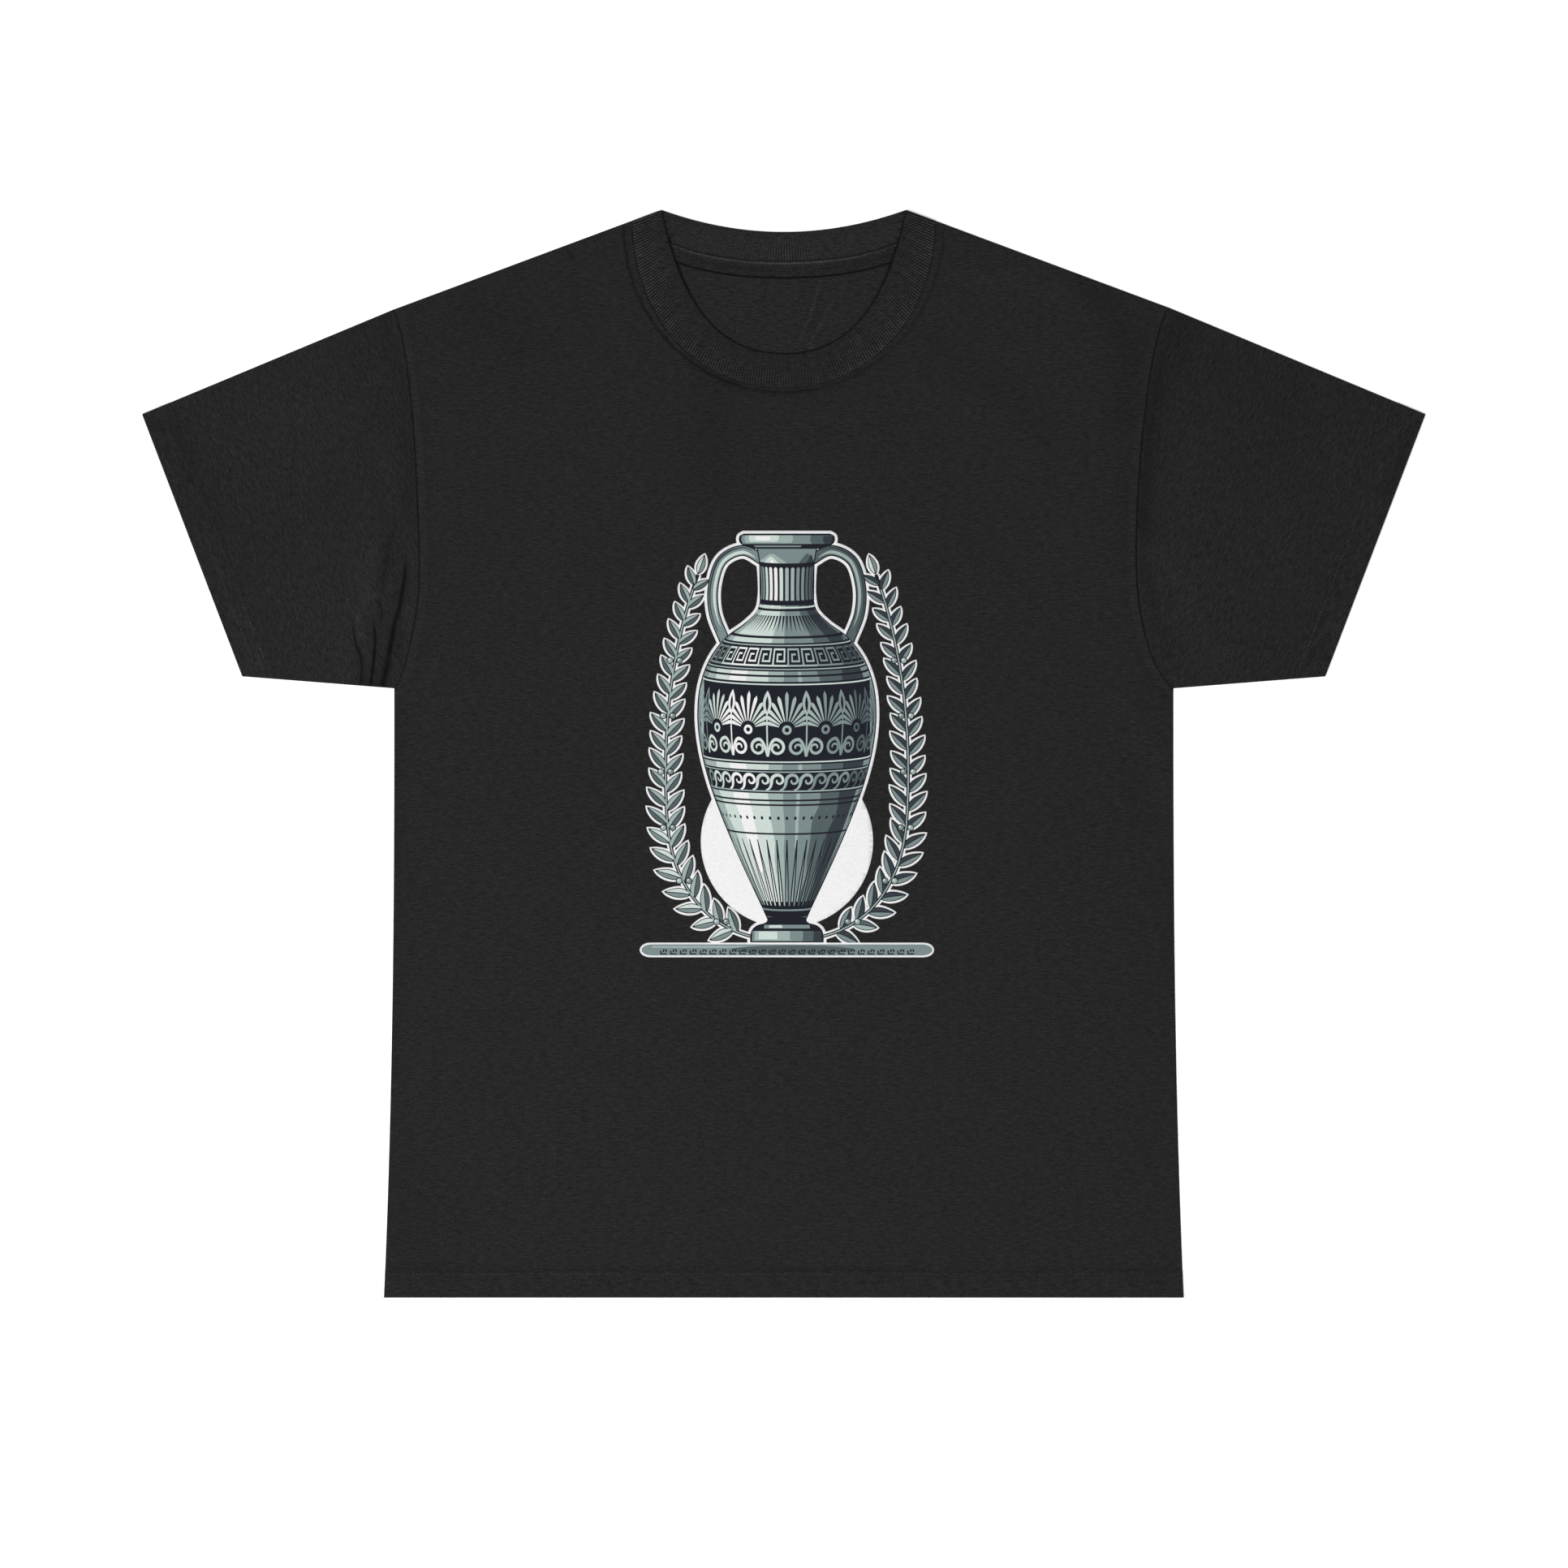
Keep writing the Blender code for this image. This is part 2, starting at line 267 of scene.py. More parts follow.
def knit(name, colour, turn=0.0, streaks=0.50, flecks=0.25, rough=0.92, level=0.05,
         sheen=0.02, depth=0.12, tint=0.015, cast=0.006):
    """Jersey: streaky yarn along the courses, small lint flecks, fine loops."""
    mat = bpy.data.materials.new(name)
    mat.use_nodes = True
    nt = mat.node_tree
    shader = nt.nodes["Principled BSDF"]
    shader.inputs["Specular IOR Level"].default_value = level
    shader.inputs["Sheen Weight"].default_value = sheen
    shader.inputs["Sheen Roughness"].default_value = 0.6
    shader.inputs["Metallic"].default_value = 0.0
    where = node(nt, "ShaderNodeTexCoord")
    aim = node(nt, "ShaderNodeMapping")
    aim.inputs["Rotation"].default_value = (0, 0, -turn)
    link(nt, where.outputs["Object"], aim.inputs["Vector"])

    def noise(scale, detail=2.0, rough_=0.5):
        m = node(nt, "ShaderNodeMapping")
        m.inputs["Scale"].default_value = scale
        link(nt, aim.outputs["Vector"], m.inputs["Vector"])
        t = node(nt, "ShaderNodeTexNoise")
        t.inputs["Scale"].default_value = 1.0
        t.inputs["Detail"].default_value = detail
        t.inputs["Roughness"].default_value = rough_
        link(nt, m.outputs["Vector"], t.inputs["Vector"])
        return t.outputs["Fac"]

    def ramp(fac, low, high, a, b):
        r = node(nt, "ShaderNodeMapRange")
        r.inputs["From Min"].default_value = low
        r.inputs["From Max"].default_value = high
        r.inputs["To Min"].default_value = a
        r.inputs["To Max"].default_value = b
        link(nt, fac, r.inputs["Value"])
        return r.outputs["Result"]

    def times(a, b):
        m = node(nt, "ShaderNodeMath", operation="MULTIPLY")
        link(nt, a, m.inputs[0])
        link(nt, b, m.inputs[1])
        return m.outputs[0]

    long_streak = noise((180, 950, 60), 1.2, 0.55)
    short_streak = noise((800, 2800, 200), 2.0, 0.6)
    grain = noise((2100, 2300, 900), 1.0, 0.5)
    cloud = noise((9, 11, 9), 2.0, 0.5)
    speck = noise((700, 1600, 400), 1.0, 0.5)
    light = ramp(long_streak, 0.25, 0.75, 1 - streaks * 0.62, 1 + streaks * 0.62)
    light = times(light, ramp(short_streak, 0.25, 0.75, 1 - streaks * 1.15, 1 + streaks * 1.15))
    light = times(light, ramp(grain, 0.25, 0.75, 1 - streaks * 0.25, 1 + streaks * 0.25))
    light = times(light, ramp(cloud, 0.3, 0.7, 1 - tint, 1 + tint))
    light = times(light, ramp(speck, 0.68, 0.80, 1.0, 1 + flecks))
    light = times(light, ramp(speck, 0.20, 0.32, 1 - flecks * 0.5, 1.0))
    # painted light and shade from each piece's tone attribute, multiplied into the yarn's colour
    tone = node(nt, "ShaderNodeAttribute")
    tone.attribute_name = "tone"
    light = times(light, tone.outputs["Fac"])

    # a faint cool cast in broad patches
    patch = noise((4.2, 4.6, 3.0), 1.0, 0.5)
    mix = node(nt, "ShaderNodeMix", data_type="RGBA")
    link(nt, ramp(patch, 0.50, 0.70, 0.0, 1.0), mix.inputs["Factor"])
    mix.inputs[6].default_value = (*colour, 1)
    mix.inputs[7].default_value = (colour[0] * (1 - cast), colour[1], colour[2] * (1 + 1.6 * cast), 1)
    scale = node(nt, "ShaderNodeVectorMath", operation="SCALE")
    link(nt, mix.outputs[2], scale.inputs[0])
    link(nt, light, scale.inputs["Scale"])
    link(nt, scale.outputs["Vector"], shader.inputs["Base Color"])

    # fine relief: loops, crossed by the courses
    rows = noise((160, 1250, 60), 2.0, 0.6)
    add = node(nt, "ShaderNodeMath", operation="ADD")
    link(nt, grain, add.inputs[0])
    link(nt, rows, add.inputs[1])
    b = node(nt, "ShaderNodeBump")
    b.inputs["Strength"].default_value = 0.6
    b.inputs["Distance"].default_value = depth * MM
    link(nt, add.outputs[0], b.inputs["Height"])
    link(nt, b.outputs["Normal"], shader.inputs["Normal"])
    link(nt, ramp(short_streak, 0.3, 0.7, rough - 0.05, min(1.0, rough + 0.05)), shader.inputs["Roughness"])
    return mat


def thread(name, colour):
    """Sewing thread: its colour varies along it, with painted glints here and there."""
    mat = bpy.data.materials.new(name)
    mat.use_nodes = True
    nt = mat.node_tree
    shader = nt.nodes["Principled BSDF"]
    shader.inputs["Roughness"].default_value = 0.6
    shader.inputs["Specular IOR Level"].default_value = 0.15
    shader.inputs["Sheen Weight"].default_value = 0.03
    where = node(nt, "ShaderNodeTexCoord")

    def noise(size, low, high, a, b):
        t = node(nt, "ShaderNodeTexNoise")
        t.inputs["Scale"].default_value = size
        t.inputs["Detail"].default_value = 1.0
        link(nt, where.outputs["Object"], t.inputs["Vector"])
        r = node(nt, "ShaderNodeMapRange")
        r.inputs["From Min"].default_value = low
        r.inputs["From Max"].default_value = high
        r.inputs["To Min"].default_value = a
        r.inputs["To Max"].default_value = b
        link(nt, t.outputs["Fac"], r.inputs["Value"])
        return r.outputs["Result"]

    both = node(nt, "ShaderNodeMath", operation="MULTIPLY")
    link(nt, noise(22.0, 0.38, 0.62, 0.55, 1.25), both.inputs[0])
    link(nt, noise(380.0, 0.35, 0.70, 0.5, 2.2), both.inputs[1])
    # painted light and shade from the stitches' tone attribute, multiplied into the colour
    tone = node(nt, "ShaderNodeAttribute")
    tone.attribute_name = "tone"
    toned = node(nt, "ShaderNodeMath", operation="MULTIPLY")
    link(nt, both.outputs[0], toned.inputs[0])
    link(nt, tone.outputs["Fac"], toned.inputs[1])
    both = toned
    scale = node(nt, "ShaderNodeVectorMath", operation="SCALE")
    scale.inputs[0].default_value = colour
    link(nt, both.outputs[0], scale.inputs["Scale"])
    link(nt, scale.outputs["Vector"], shader.inputs["Base Color"])
    return mat


CUFF_TURN_LEFT = math.atan2(SLEEVE_TIP[1] - CUFF_LOW[1], -(SLEEVE_TIP[0] - CUFF_LOW[0]))
CUFF_TURN_RIGHT = math.pi - CUFF_TURN_LEFT
CLOTH = 0.01145
M_BODY = knit("jersey_body", (CLOTH, CLOTH, CLOTH))
M_BACK = knit("jersey_back", (CLOTH * 1.05, CLOTH * 1.05, CLOTH * 1.05), streaks=0.70, flecks=0.5)
# the two sleeves are lit and shaded copies of the jersey: the left one's colour painted a touch lighter, the right
# one's a touch darker
M_LEFT = knit("jersey_left_sleeve", (CLOTH * 1.018, CLOTH * 1.018, CLOTH * 1.018), turn=CUFF_TURN_LEFT + 0.05,
              streaks=0.59, tint=0.03)
M_RIGHT = knit("jersey_right_sleeve", (CLOTH * 0.972, CLOTH * 0.972, CLOTH * 0.972), turn=CUFF_TURN_RIGHT - 0.11,
               streaks=0.61, tint=0.03)
M_RIB = knit("rib_knit", (CLOTH * 1.02, CLOTH * 1.02, CLOTH * 1.02), streaks=0.60, flecks=0.5, rough=0.95, cast=0.03)
M_TAPE = knit("tape_weave", (CLOTH * 0.95, CLOTH * 0.95, CLOTH * 0.96), streaks=0.60, flecks=0.6)
M_THREAD = thread("sewing_thread", (0.0185, 0.0185, 0.0187))
M_TAPE_THREAD = thread("tape_thread", (0.040, 0.040, 0.0405))


# ---------------------------------------------------------------- sewn creases
def px(points):
    """Points noted by their place in a 1932-wide picture from straight above."""
    p = np.array(points, float)
    return np.stack([(p[:, 0] - 965.75) * 0.000575, (928.75 - p[:, 1]) * 0.000575], 1)


# pulls in the cloth at the left underarm: line, width, depth, taper at each end
CREASES_LEFT = (
    # line, width at its start and end, depth, painted shade, taper at its start and end
    (px(((502, 672), (500.5, 690), (499.5, 707), (497, 725), (493, 748), (486, 771), (482.6, 789), (480, 807),
         (477.4, 821), (471, 846))), (0.65, 2.0), 2.1, 0.84, 23, 0.5),
    (px(((490, 628), (487, 643), (480.7, 668), (475.4, 693), (471.8, 716), (466.8, 739))), (1.7, 1.8), 0.8, 0.34, 32, 16),
    (px(((458, 757), (462, 773), (463, 789), (461.4, 811), (459.3, 827), (456.6, 846))), (0.6, 1.05), 1.9, 0.84, 14, 0.5),
    (px(((465.5, 733), (471.8, 758), (467, 772))), (0.8, 0.8), 1.1, 0.45, 6, 6),
    (px(((432, 752), (435.5, 771), (438.8, 793), (445.8, 811), (446.4, 827), (444.6, 846))), (0.6, 0.95), 1.3, 0.62, 22, 0.5),
    (px(((507, 742), (503, 764), (496, 786), (489, 806), (484, 822))), (1.0, 1.2), 0.6, 0.25, 14, 10),
)
BULGES_LEFT = (
    # line, reach, height, painted light
    (px(((452, 725), (451, 743))), 5.0, 0.9, 0.14), (px(((441, 758), (443, 784))), 3.6, 0.9, 0.34),
    (px(((449, 780), (450, 800))), 2.6, 1.0, 0.12), (px(((505, 750), (500, 772))), 3.0, 0.8, 0.26),
    (px(((487, 800), (485, 828))), 2.4, 1.1, 0.20), (px(((480, 700), (478, 760))), 4.2, 0.9, 0.05),
    (px(((425, 790), (428, 830))), 6.0, 0.6, 0.08),
)


def crease_shape(q, creases, bulges):
    """Height that the pulls add at each point, and their tone: painted shade along the creases, painted light on the
    bulges.
    """
    z, tone = np.zeros(len(q)), np.ones(len(q))
    lo, hi = np.array([1e9, 1e9]), np.array([-1e9, -1e9])
    for line, *_ in list(creases) + list(bulges):
        lo, hi = np.minimum(lo, line.min(0)), np.maximum(hi, line.max(0))
    close = np.all((q > lo - 0.03) & (q < hi + 0.03), axis=1)
    p = q[close]
    if not len(p):
        return z, tone
    dz, dt = np.zeros(len(p)), np.ones(len(p))
    for line, reach, height, light in bulges:
        d, _ = near(p, line)
        dz += height * MM * bump(d, reach * MM)
        # painted light on each bulge
        dt *= 1 + light * bump(d, reach * 0.9 * MM)
    for line, (w0, w1), depth, dark, first, last in creases:
        fine = spaced(line, 0.002)
        d, s = near(p, fine)
        total = run_of(fine)[-1]
        width = (w0 + (w1 - w0) * s / total + 0.10 * np.sin(s * 520)) * MM
        fade = ease(-0.0001, first * MM, s) * ease(-0.0001, last * MM, total - s)
        dz += fade * depth * MM * (0.42 * bump(d, width * 3.0) - 1.15 * bump(d, width))
        # painted shade along each crease, uneven, with a broad soft painted shade beside it
        uneven = 0.86 + 0.14 * np.sin(s * 310 + 7 * w1) * np.sin(s * 137)
        dt *= 1 - fade * dark * uneven * bump(d, width * (0.55 + 0.45 * fade))
        dt *= 1 - fade * dark * 0.26 * bump(d, width * 3.4)
    z[close], tone[close] = dz, dt
    return z, tone


# slow shapes, where the cloth swells or sinks softly: line, reach, height, tone: painted light where above 0, painted
# shade where below
SOFT_BODY = (
    (px(((598, 392), (642, 416))), 24, -0.30, -0.10), (px(((890, 450), (872, 520), (880, 592))), 19, -0.35, -0.085),
    (px(((1180, 338), (1270, 352), (1360, 394))), 8, 0.40, 0.075), (px(((1150, 424), (1215, 462), (1283, 526))), 11, -0.35, -0.075),
    (px(((1110, 470), (1190, 505), (1250, 560))), 8, 0.25, 0.03),
    (px(((1350, 362), (1396, 432), (1384, 520))), 13, -0.45, -0.15), (px(((1386, 560), (1382, 700))), 7, -0.20, -0.07),
    (px(((492, 870), (490, 1190), (487, 1330))), 6, -0.10, -0.08), (px(((500, 1430), (520, 1560))), 26, -0.25, -0.07),
    (px(((1380, 868), (1400, 905), (1424, 950), (1436, 985))), 8, 0.30, 0.075), (px(((1436, 848), (1432, 872))), 4, -0.15, -0.06),
    (px(((1386, 936), (1392, 980), (1402, 1010))), 6, -0.25, -0.065), (px(((1439, 1060), (1442, 1200))), 6, -0.20, -0.07),
    (px(((560, 640), (600, 780))), 26, -0.20, -0.02), (px(((700, 352), (720, 400), (770, 470))), 7, -0.25, -0.04),
    (px(((740, 340), (756, 400), (800, 460))), 6, 0.30, 0.03),
)
SOFT_LEFT = (
    (px(((474, 392), (496, 480), (505, 560), (507, 640))), 6.5, -0.30, -0.15), (px(((440, 420), (470, 520))), 16, -0.20, -0.06),
    (px(((205, 520), (240, 572), (262, 630))), 15, -0.20, -0.10), (px(((455, 684), (449, 736))), 12, 0.60, 0.13),
    (px(((272, 790), (300, 825))), 16, 0.20, 0.06), (px(((300, 660), (350, 640), (420, 600))), 18, -0.25, -0.05),
    (px(((478, 648), (458, 590), (430, 540))), 5, -0.30, -0.05), (px(((494, 640), (482, 590), (466, 545))), 4, 0.25, 0.04),
    (px(((330, 520), (400, 500))), 20, 0.25, 0.03), (px(((380, 720), (400, 800))), 14, 0.30, 0.03),
    (px(((497, 610), (488, 680), (479, 730))), 6.5, -0.15, -0.07),
)
SOFT_RIGHT = (
    (px(((1462, 398), (1436, 470), (1420, 560), (1411, 650))), 10, -0.45, -0.15),
    (px(((1449, 392), (1424, 470), (1411, 560), (1405, 650))), 3.6, -0.25, -0.12),
    (px(((1500, 440), (1580, 500))), 32, -0.35, -0.08), (px(((1739, 530), (1709, 608))), 3.4, -0.20, -0.20),
    (px(((1696, 618), (1669, 700), (1641, 795))), 2.8, 0.10, 0.10), (px(((1411, 700), (1424, 760), (1440, 806))), 5.5, -0.30, -0.12),
    (px(((1452, 560), (1446, 660), (1470, 740))), 9, 0.35, 0.05), (px(((1560, 640), (1600, 740))), 16, 0.25, 0.04),
    (px(((1500, 560), (1560, 600), (1640, 610))), 9, -0.25, -0.03), (px(((1438, 690), (1460, 760), (1500, 822))), 12, 0.30, 0.085),
)


def soft_shape(q, items):
    z, tone = np.zeros(len(q)), np.ones(len(q))
    for line, reach, height, light in items:
        lo, hi = line.min(0) - 2.6 * reach * MM, line.max(0) + 2.6 * reach * MM
        close = np.all((q > lo) & (q < hi), axis=1)
        if close.any():
            d, _ = near(q[close], line)
            k = bump(d, reach * MM)
            z[close] += height * MM * k
            # painted light and shade along each slow shape
            tone[close] *= 1 + light * k
    return z, tone


# short puckers on the shoulders: line, width, depth
PUCKERS = (
    (px(((1250.5, 305), (1251, 314), (1251.5, 327))), 0.0011, 0.00045),
    (px(((1328, 334), (1330, 342), (1333, 358))), 0.0010, 0.00065),
    (px(((1338, 338), (1341, 352))), 0.0010, 0.00030),
    (px(((695, 303), (702, 313), (711, 325))), 0.0012, 0.00045),
    (px(((633, 331), (637, 345))), 0.0011, 0.00040),
    (px(((594, 345), (597, 355))), 0.0010, 0.00025),
)


# --------------------------------------------------------------- body panels
def panel_edges(neckline):
    """The named runs of a panel's edge, anticlockwise from the hem's left end."""
    y = np.linspace(-HALF_LENGTH, ARMPIT_Y - 0.0015, 120)
    right = np.stack([side_x(y), y], 1)
    left_hole = flipped(armhole(ARMHOLE_LEFT))
    right_hole = armhole(ARMHOLE_RIGHT)
    hem = np.array([[-side_x(-HALF_LENGTH), -HALF_LENGTH], [side_x(-HALF_LENGTH), -HALF_LENGTH]])
    return {
        "hem": hem,
        "right_side": np.concatenate([right, right_hole[-1:]]),
        "right_hole": right_hole[::-1],
        "right_shoulder": np.stack([right_hole[0], neckline[-1]]),
        "neck": neckline[::-1],
        "left_shoulder": np.stack([neckline[0], left_hole[0]]),
        "left_hole": left_hole,
        "left_side": np.concatenate([left_hole[-1:], flipped(right)[::-1]]),
    }


RINGS = np.array([0.12, 0.35, 0.7, 1.1, 1.6, 2.2, 3.0, 4.0, 5.1, 6.3, 7.6, 9.4]) * MM


def panel_points(edges, spacing, ring_step, rings=RINGS, rows=(), fine=False, more=None):
    """Boundary loop, and inner points: rings along the edges, rows along the
    hem and an even grid elsewhere."""
    loop = []
    for name, line in edges.items():
        step = 2.2 * MM if name != "hem" else 2.6 * MM
        loop.append(spaced(line, step)[:-1])
    loop = np.concatenate(loop)
    closed = np.concatenate([loop, loop[:1]])
    inner = []
    extra = np.setdiff1d(np.round(np.arange(1.3, 8.3, 0.45), 2) * MM, rings) if fine else []
    for d in [*rings, *extra]:
        for name, line in edges.items():
            if d not in rings and name not in ("neck", "left_hole", "right_hole"):
                continue
            p = spaced(line, 2.0 * MM if name == "neck" and fine else ring_step)
            q = shifted(p, d)
            gap, _ = near(q, closed)
            inner.append(q[(gap > 0.93 * d)])
    y0, reach = -HALF_LENGTH, rings[-1]
    for depth in rows:
        half = side_x(y0 + depth) - 0.001
        n = int(2 * half / (2.9 * MM))
        x = np.linspace(-half, half, n)
        q = np.stack([x, np.full(n, y0 + depth)], 1)
        gap, _ = near(q, closed)
        inner.append(q[np.abs(q[:, 0]) < side_x(q[:, 1]) - reach - 0.8 * MM])
    top_row = max(rows) if len(rows) else reach
    dy = spacing * math.sqrt(3) / 2
    grid = []
    y = y0 + max(top_row, reach) + spacing * 0.7
    k = 0
    while y < HALF_LENGTH:
        x = np.arange(-0.29, 0.29, spacing) + (spacing / 2 if k % 2 else 0)
        grid.append(np.stack([x, np.full(len(x), y)], 1))
        y += dy
        k += 1
    grid = np.concatenate(grid)
    grid = grid[inside(grid, loop)]
    gap, _ = near(grid, closed)
    grid = grid[gap > reach + 0.6 * spacing]
    # a touch of jitter keeps the facets from lining up
    rng = np.random.default_rng(3)
    grid += rng.uniform(-0.12, 0.12, grid.shape) * spacing
    if more is not None:
        gap, _ = near(more, closed)
        more = more[inside(more, loop) & (gap > reach * 0.4)]
        gap = nearest_point(grid, more)
        grid = grid[gap > 1.6 * MM]
        inner.append(more)
    inner.append(grid)
    return loop, np.concatenate(inner)


def nearest_point(q, p):
    out = np.empty(len(q))
    for i in range(0, len(q), 1500):
        out[i:i + 1500] = np.sqrt(((q[i:i + 1500, None] - p[None]) ** 2).sum(2).min(1))
    return out


def front_neckline():
    half = cubic(RIB_SEAM, 90)
    line = np.concatenate([flipped(half)[:-1], half[::-1]])
    return line


def back_neckline():
    x = np.linspace(-RIB_SEAM[0][0], RIB_SEAM[0][0], 120)
    return shifted(np.stack([x, back_seam_y(x)], 1), 0.0004)


FRONT_EDGES = panel_edges(front_neckline())
BACK_EDGES = panel_edges(back_neckline())
BODY_SWELL = Swell(11, 0.085, 0.26, 9)
BODY_CREASE = Swell(29, 0.045, 0.09, 7, angle=75, spread=90)
HEM_ROPE = Swell(5, 0.006, 0.016, 9, angle=20, spread=60)


def lines_of(edges):
    fold = [np.concatenate([edges["right_side"], edges["right_side"][-1:]]), edges["left_side"],
            edges["right_shoulder"], edges["left_shoulder"]]
    return {
        "fold": [spaced(f, 0.004) for f in fold],
        "hole": [spaced(edges["right_hole"], 0.0025), spaced(edges["left_hole"], 0.0025)],
        "neck": spaced(edges["neck"], 0.0022),
    }


FRONT_LINES = lines_of(FRONT_EDGES)
BACK_LINES = lines_of(BACK_EDGES)


def nearest(q, lines):
    return np.min([near(q, line)[0] for line in lines], axis=0)


def hem_part(depth, turn):
    """1 over the turned-in layer, falling where its cut edge ends."""
    return 1 - ease(turn - 0.4 * MM, turn + 1.5 * MM, depth)


def round_edge(z, middle, d, reach):
    k = np.clip(d / reach, 0, 1)
    return middle + (z - middle) * np.sqrt(np.maximum(0.0, 1 - (1 - k) ** 2))


def ridge_width(s, total):
    """Width of the seam allowance that shows through beside the collar: wide
    at the shoulders, narrow in front, a little uneven."""
    u = np.abs(2 * s / total - 1)
    wide = 2.6 + 3.2 * ease(0.25, 0.85, u)
    return (wide + 0.22 * np.sin(s * 410.0) + 0.15 * np.sin(s * 947.0 + 1)) * MM


def swell_of(q, d_fold, d_neck, depth):
    """How far the front lies clear of the layer below."""
    w = 0.50 + 0.42 * BODY_SWELL(q[:, 0], q[:, 1])
    w = np.maximum(w, 0.0) + 0.10 * BODY_CREASE(q[:, 0], q[:, 1])
    w = np.clip(w, 0.0, 2.2)
    fade = ease(0.002, 0.035, d_fold) * ease(0.006, 0.035, d_neck)
    fade *= 0.35 + 0.65 * ease(0.01, 0.09, depth)
    return w * fade * MM


def front_heights(q):
    """Top of the front panel, and its tone of painted light and shade. Also gives the distances it was made from."""
    d_fold = nearest(q, FRONT_LINES["fold"])
    d_hole = np.array([near(q, h)[0] for h in FRONT_LINES["hole"]])
    d_neck, s_neck = near(q, FRONT_LINES["neck"])
    total = run_of(FRONT_LINES["neck"])[-1]
    depth = q[:, 1] + HALF_LENGTH
    part = hem_part(depth, HEM_TURN + 0.5 * MM * np.sin(q[:, 0] * 37) + 0.25 * MM * np.sin(q[:, 0] * 211))
    lift = swell_of(q, d_fold, d_neck, depth)
    z = FRONT_TOP + HEM_RISE * part + lift
    # hem: two lines of stitches sink in, and the cloth ropes a little between
    for row, sink in zip(HEM_ROWS, (0.24, 0.20)):
        z -= sink * MM * bump(depth - row, 0.75 * MM)
    z += 0.060 * MM * HEM_ROPE(q[:, 0], q[:, 1] * 0.5) * bump(depth - 9 * MM, 9 * MM)
    # armholes: the allowance is pressed to the body side and shows as a strip
    for k, (d, wide) in enumerate(zip(d_hole, (4.4, 6.2))):
        tall = 0.55 if k else 0.46
        wobble = 1 + 0.05 * np.sin(q[:, 1] * 260 + k)
        strip = ease(0.25 * MM, 1.0 * MM, d) * (1 - ease(wide * wobble * MM, (wide + 1.7) * wobble * MM, d))
        z += tall * MM * strip
        z += 0.05 * MM * np.sin(q[:, 1] * 2 * math.pi / 0.0031) * bump(d - 0.6 * MM, 0.7 * MM)
    d_arm = d_hole.min(0)
    # collar: the allowance makes a ridge that drops steeply on its outer side
    width = ridge_width(s_neck, total)
    ridge = ease(-0.3 * MM, 0.4 * MM, d_neck) * (1 - ease(width - 0.35 * MM, width + 0.75 * MM, d_neck))
    side = ease(0.35, 0.9, np.abs(2 * s_neck / total - 1))
    z += (0.75 + 0.30 * side) * MM * ridge
    z += 0.45 * MM * (1 - ease(2 * MM, 26 * MM, d_neck))
    z -= 0.30 * MM * bump(d_neck - width - 1.0 * MM, 0.9 * MM)
    tone = np.ones(len(q))
    # the seam line itself gets a fine painted shadow line in its slit, fainter towards the underarm
    fine_end = 0.35 + 0.65 * ease(0.050, 0.115, q[:, 1])
    tone *= 1 - 0.86 * fine_end * bump(d_arm, 0.38 * MM)
    # painted light on the pressed allowance strip beside each armhole, more on the left, and a soft painted shade just
    # beyond it
    tone *= 1 + np.where(q[:, 0] < 0, 0.13, 0.07) * ease(0.8 * MM, 1.6 * MM, d_arm) * (
        1 - ease(4.6 * MM, 6.6 * MM, d_arm))
    tone *= 1 - 0.05 * bump(d_arm - 8.2 * MM, 1.6 * MM)
    # painted shadow along the outer side of the collar's ridge, darkest on the left and low in front, with a faint
    # wider painted shade beyond, mostly in front, and a thin one at the seam
    u = 2 * s_neck / total - 1
    leftness = ease(-0.15, 0.45, u)
    low_part = ease(0.62, 0.15, np.abs(u))
    dark = 0.17 + 0.16 * low_part + 0.32 * leftness
    dark *= 1 + 0.25 * np.sin(s_neck * 180) * np.sin(s_neck * 67)
    tone *= 1 - np.clip(dark, 0, 0.8) * bump(d_neck - width - 0.45 * MM, (1.0 + 0.45 * low_part) * MM)
    tone *= 1 - 0.10 * ease(0.55, 0.1, np.abs(u)) * bump(d_neck - width - 3.2 * MM, 2.6 * MM)
    tone *= 1 - 0.10 * bump(d_neck, 0.35 * MM)
    # hem: painted shade along the sunk stitch rows, and painted light and shade on the ropes between
    for row, deep in zip(HEM_ROWS, (0.14, 0.20)):
        tone *= 1 - deep * bump(depth - row, 0.55 * MM)
    tone *= 1 + 0.10 * HEM_ROPE(q[:, 0], q[:, 1] * 0.5) * bump(depth - 10.5 * MM, 3.5 * MM)
    z += 0.05 * MM * np.sin(s_neck * 2 * math.pi / 0.0034) * bump(d_neck - 0.9 * MM, 0.8 * MM)
    # a band of painted shade just above where the turned-in layer ends
    tone *= 1 - (0.075 + 0.035 * np.sin(q[:, 0] * 23 + 1)) * bump(depth - 20.5 * MM, 2.6 * MM)
    # painted light and shade from the slow shapes
    dz, dt = soft_shape(q, SOFT_BODY)
    calm = ease(1.0 * MM, 6 * MM, np.minimum(np.minimum(d_fold, d_arm), d_neck))
    z += dz * calm
    tone *= dt
    lift = np.maximum(lift + dz * calm, 0.0)
    # each pucker sinks, with a line of painted shade down its middle
    for line, wide, deep in PUCKERS:
        d, s = near(q, spaced(line, 0.002))
        length = run_of(line)[-1]
        fade = ease(-0.001, 0.006, s) * ease(-0.001, 0.006, length - s)
        z += fade * deep * (0.5 * bump(d, wide * 2.6) - bump(d, wide))
        tone *= 1 - fade * (deep / MM) * 0.9 * bump(d, wide * 0.8)
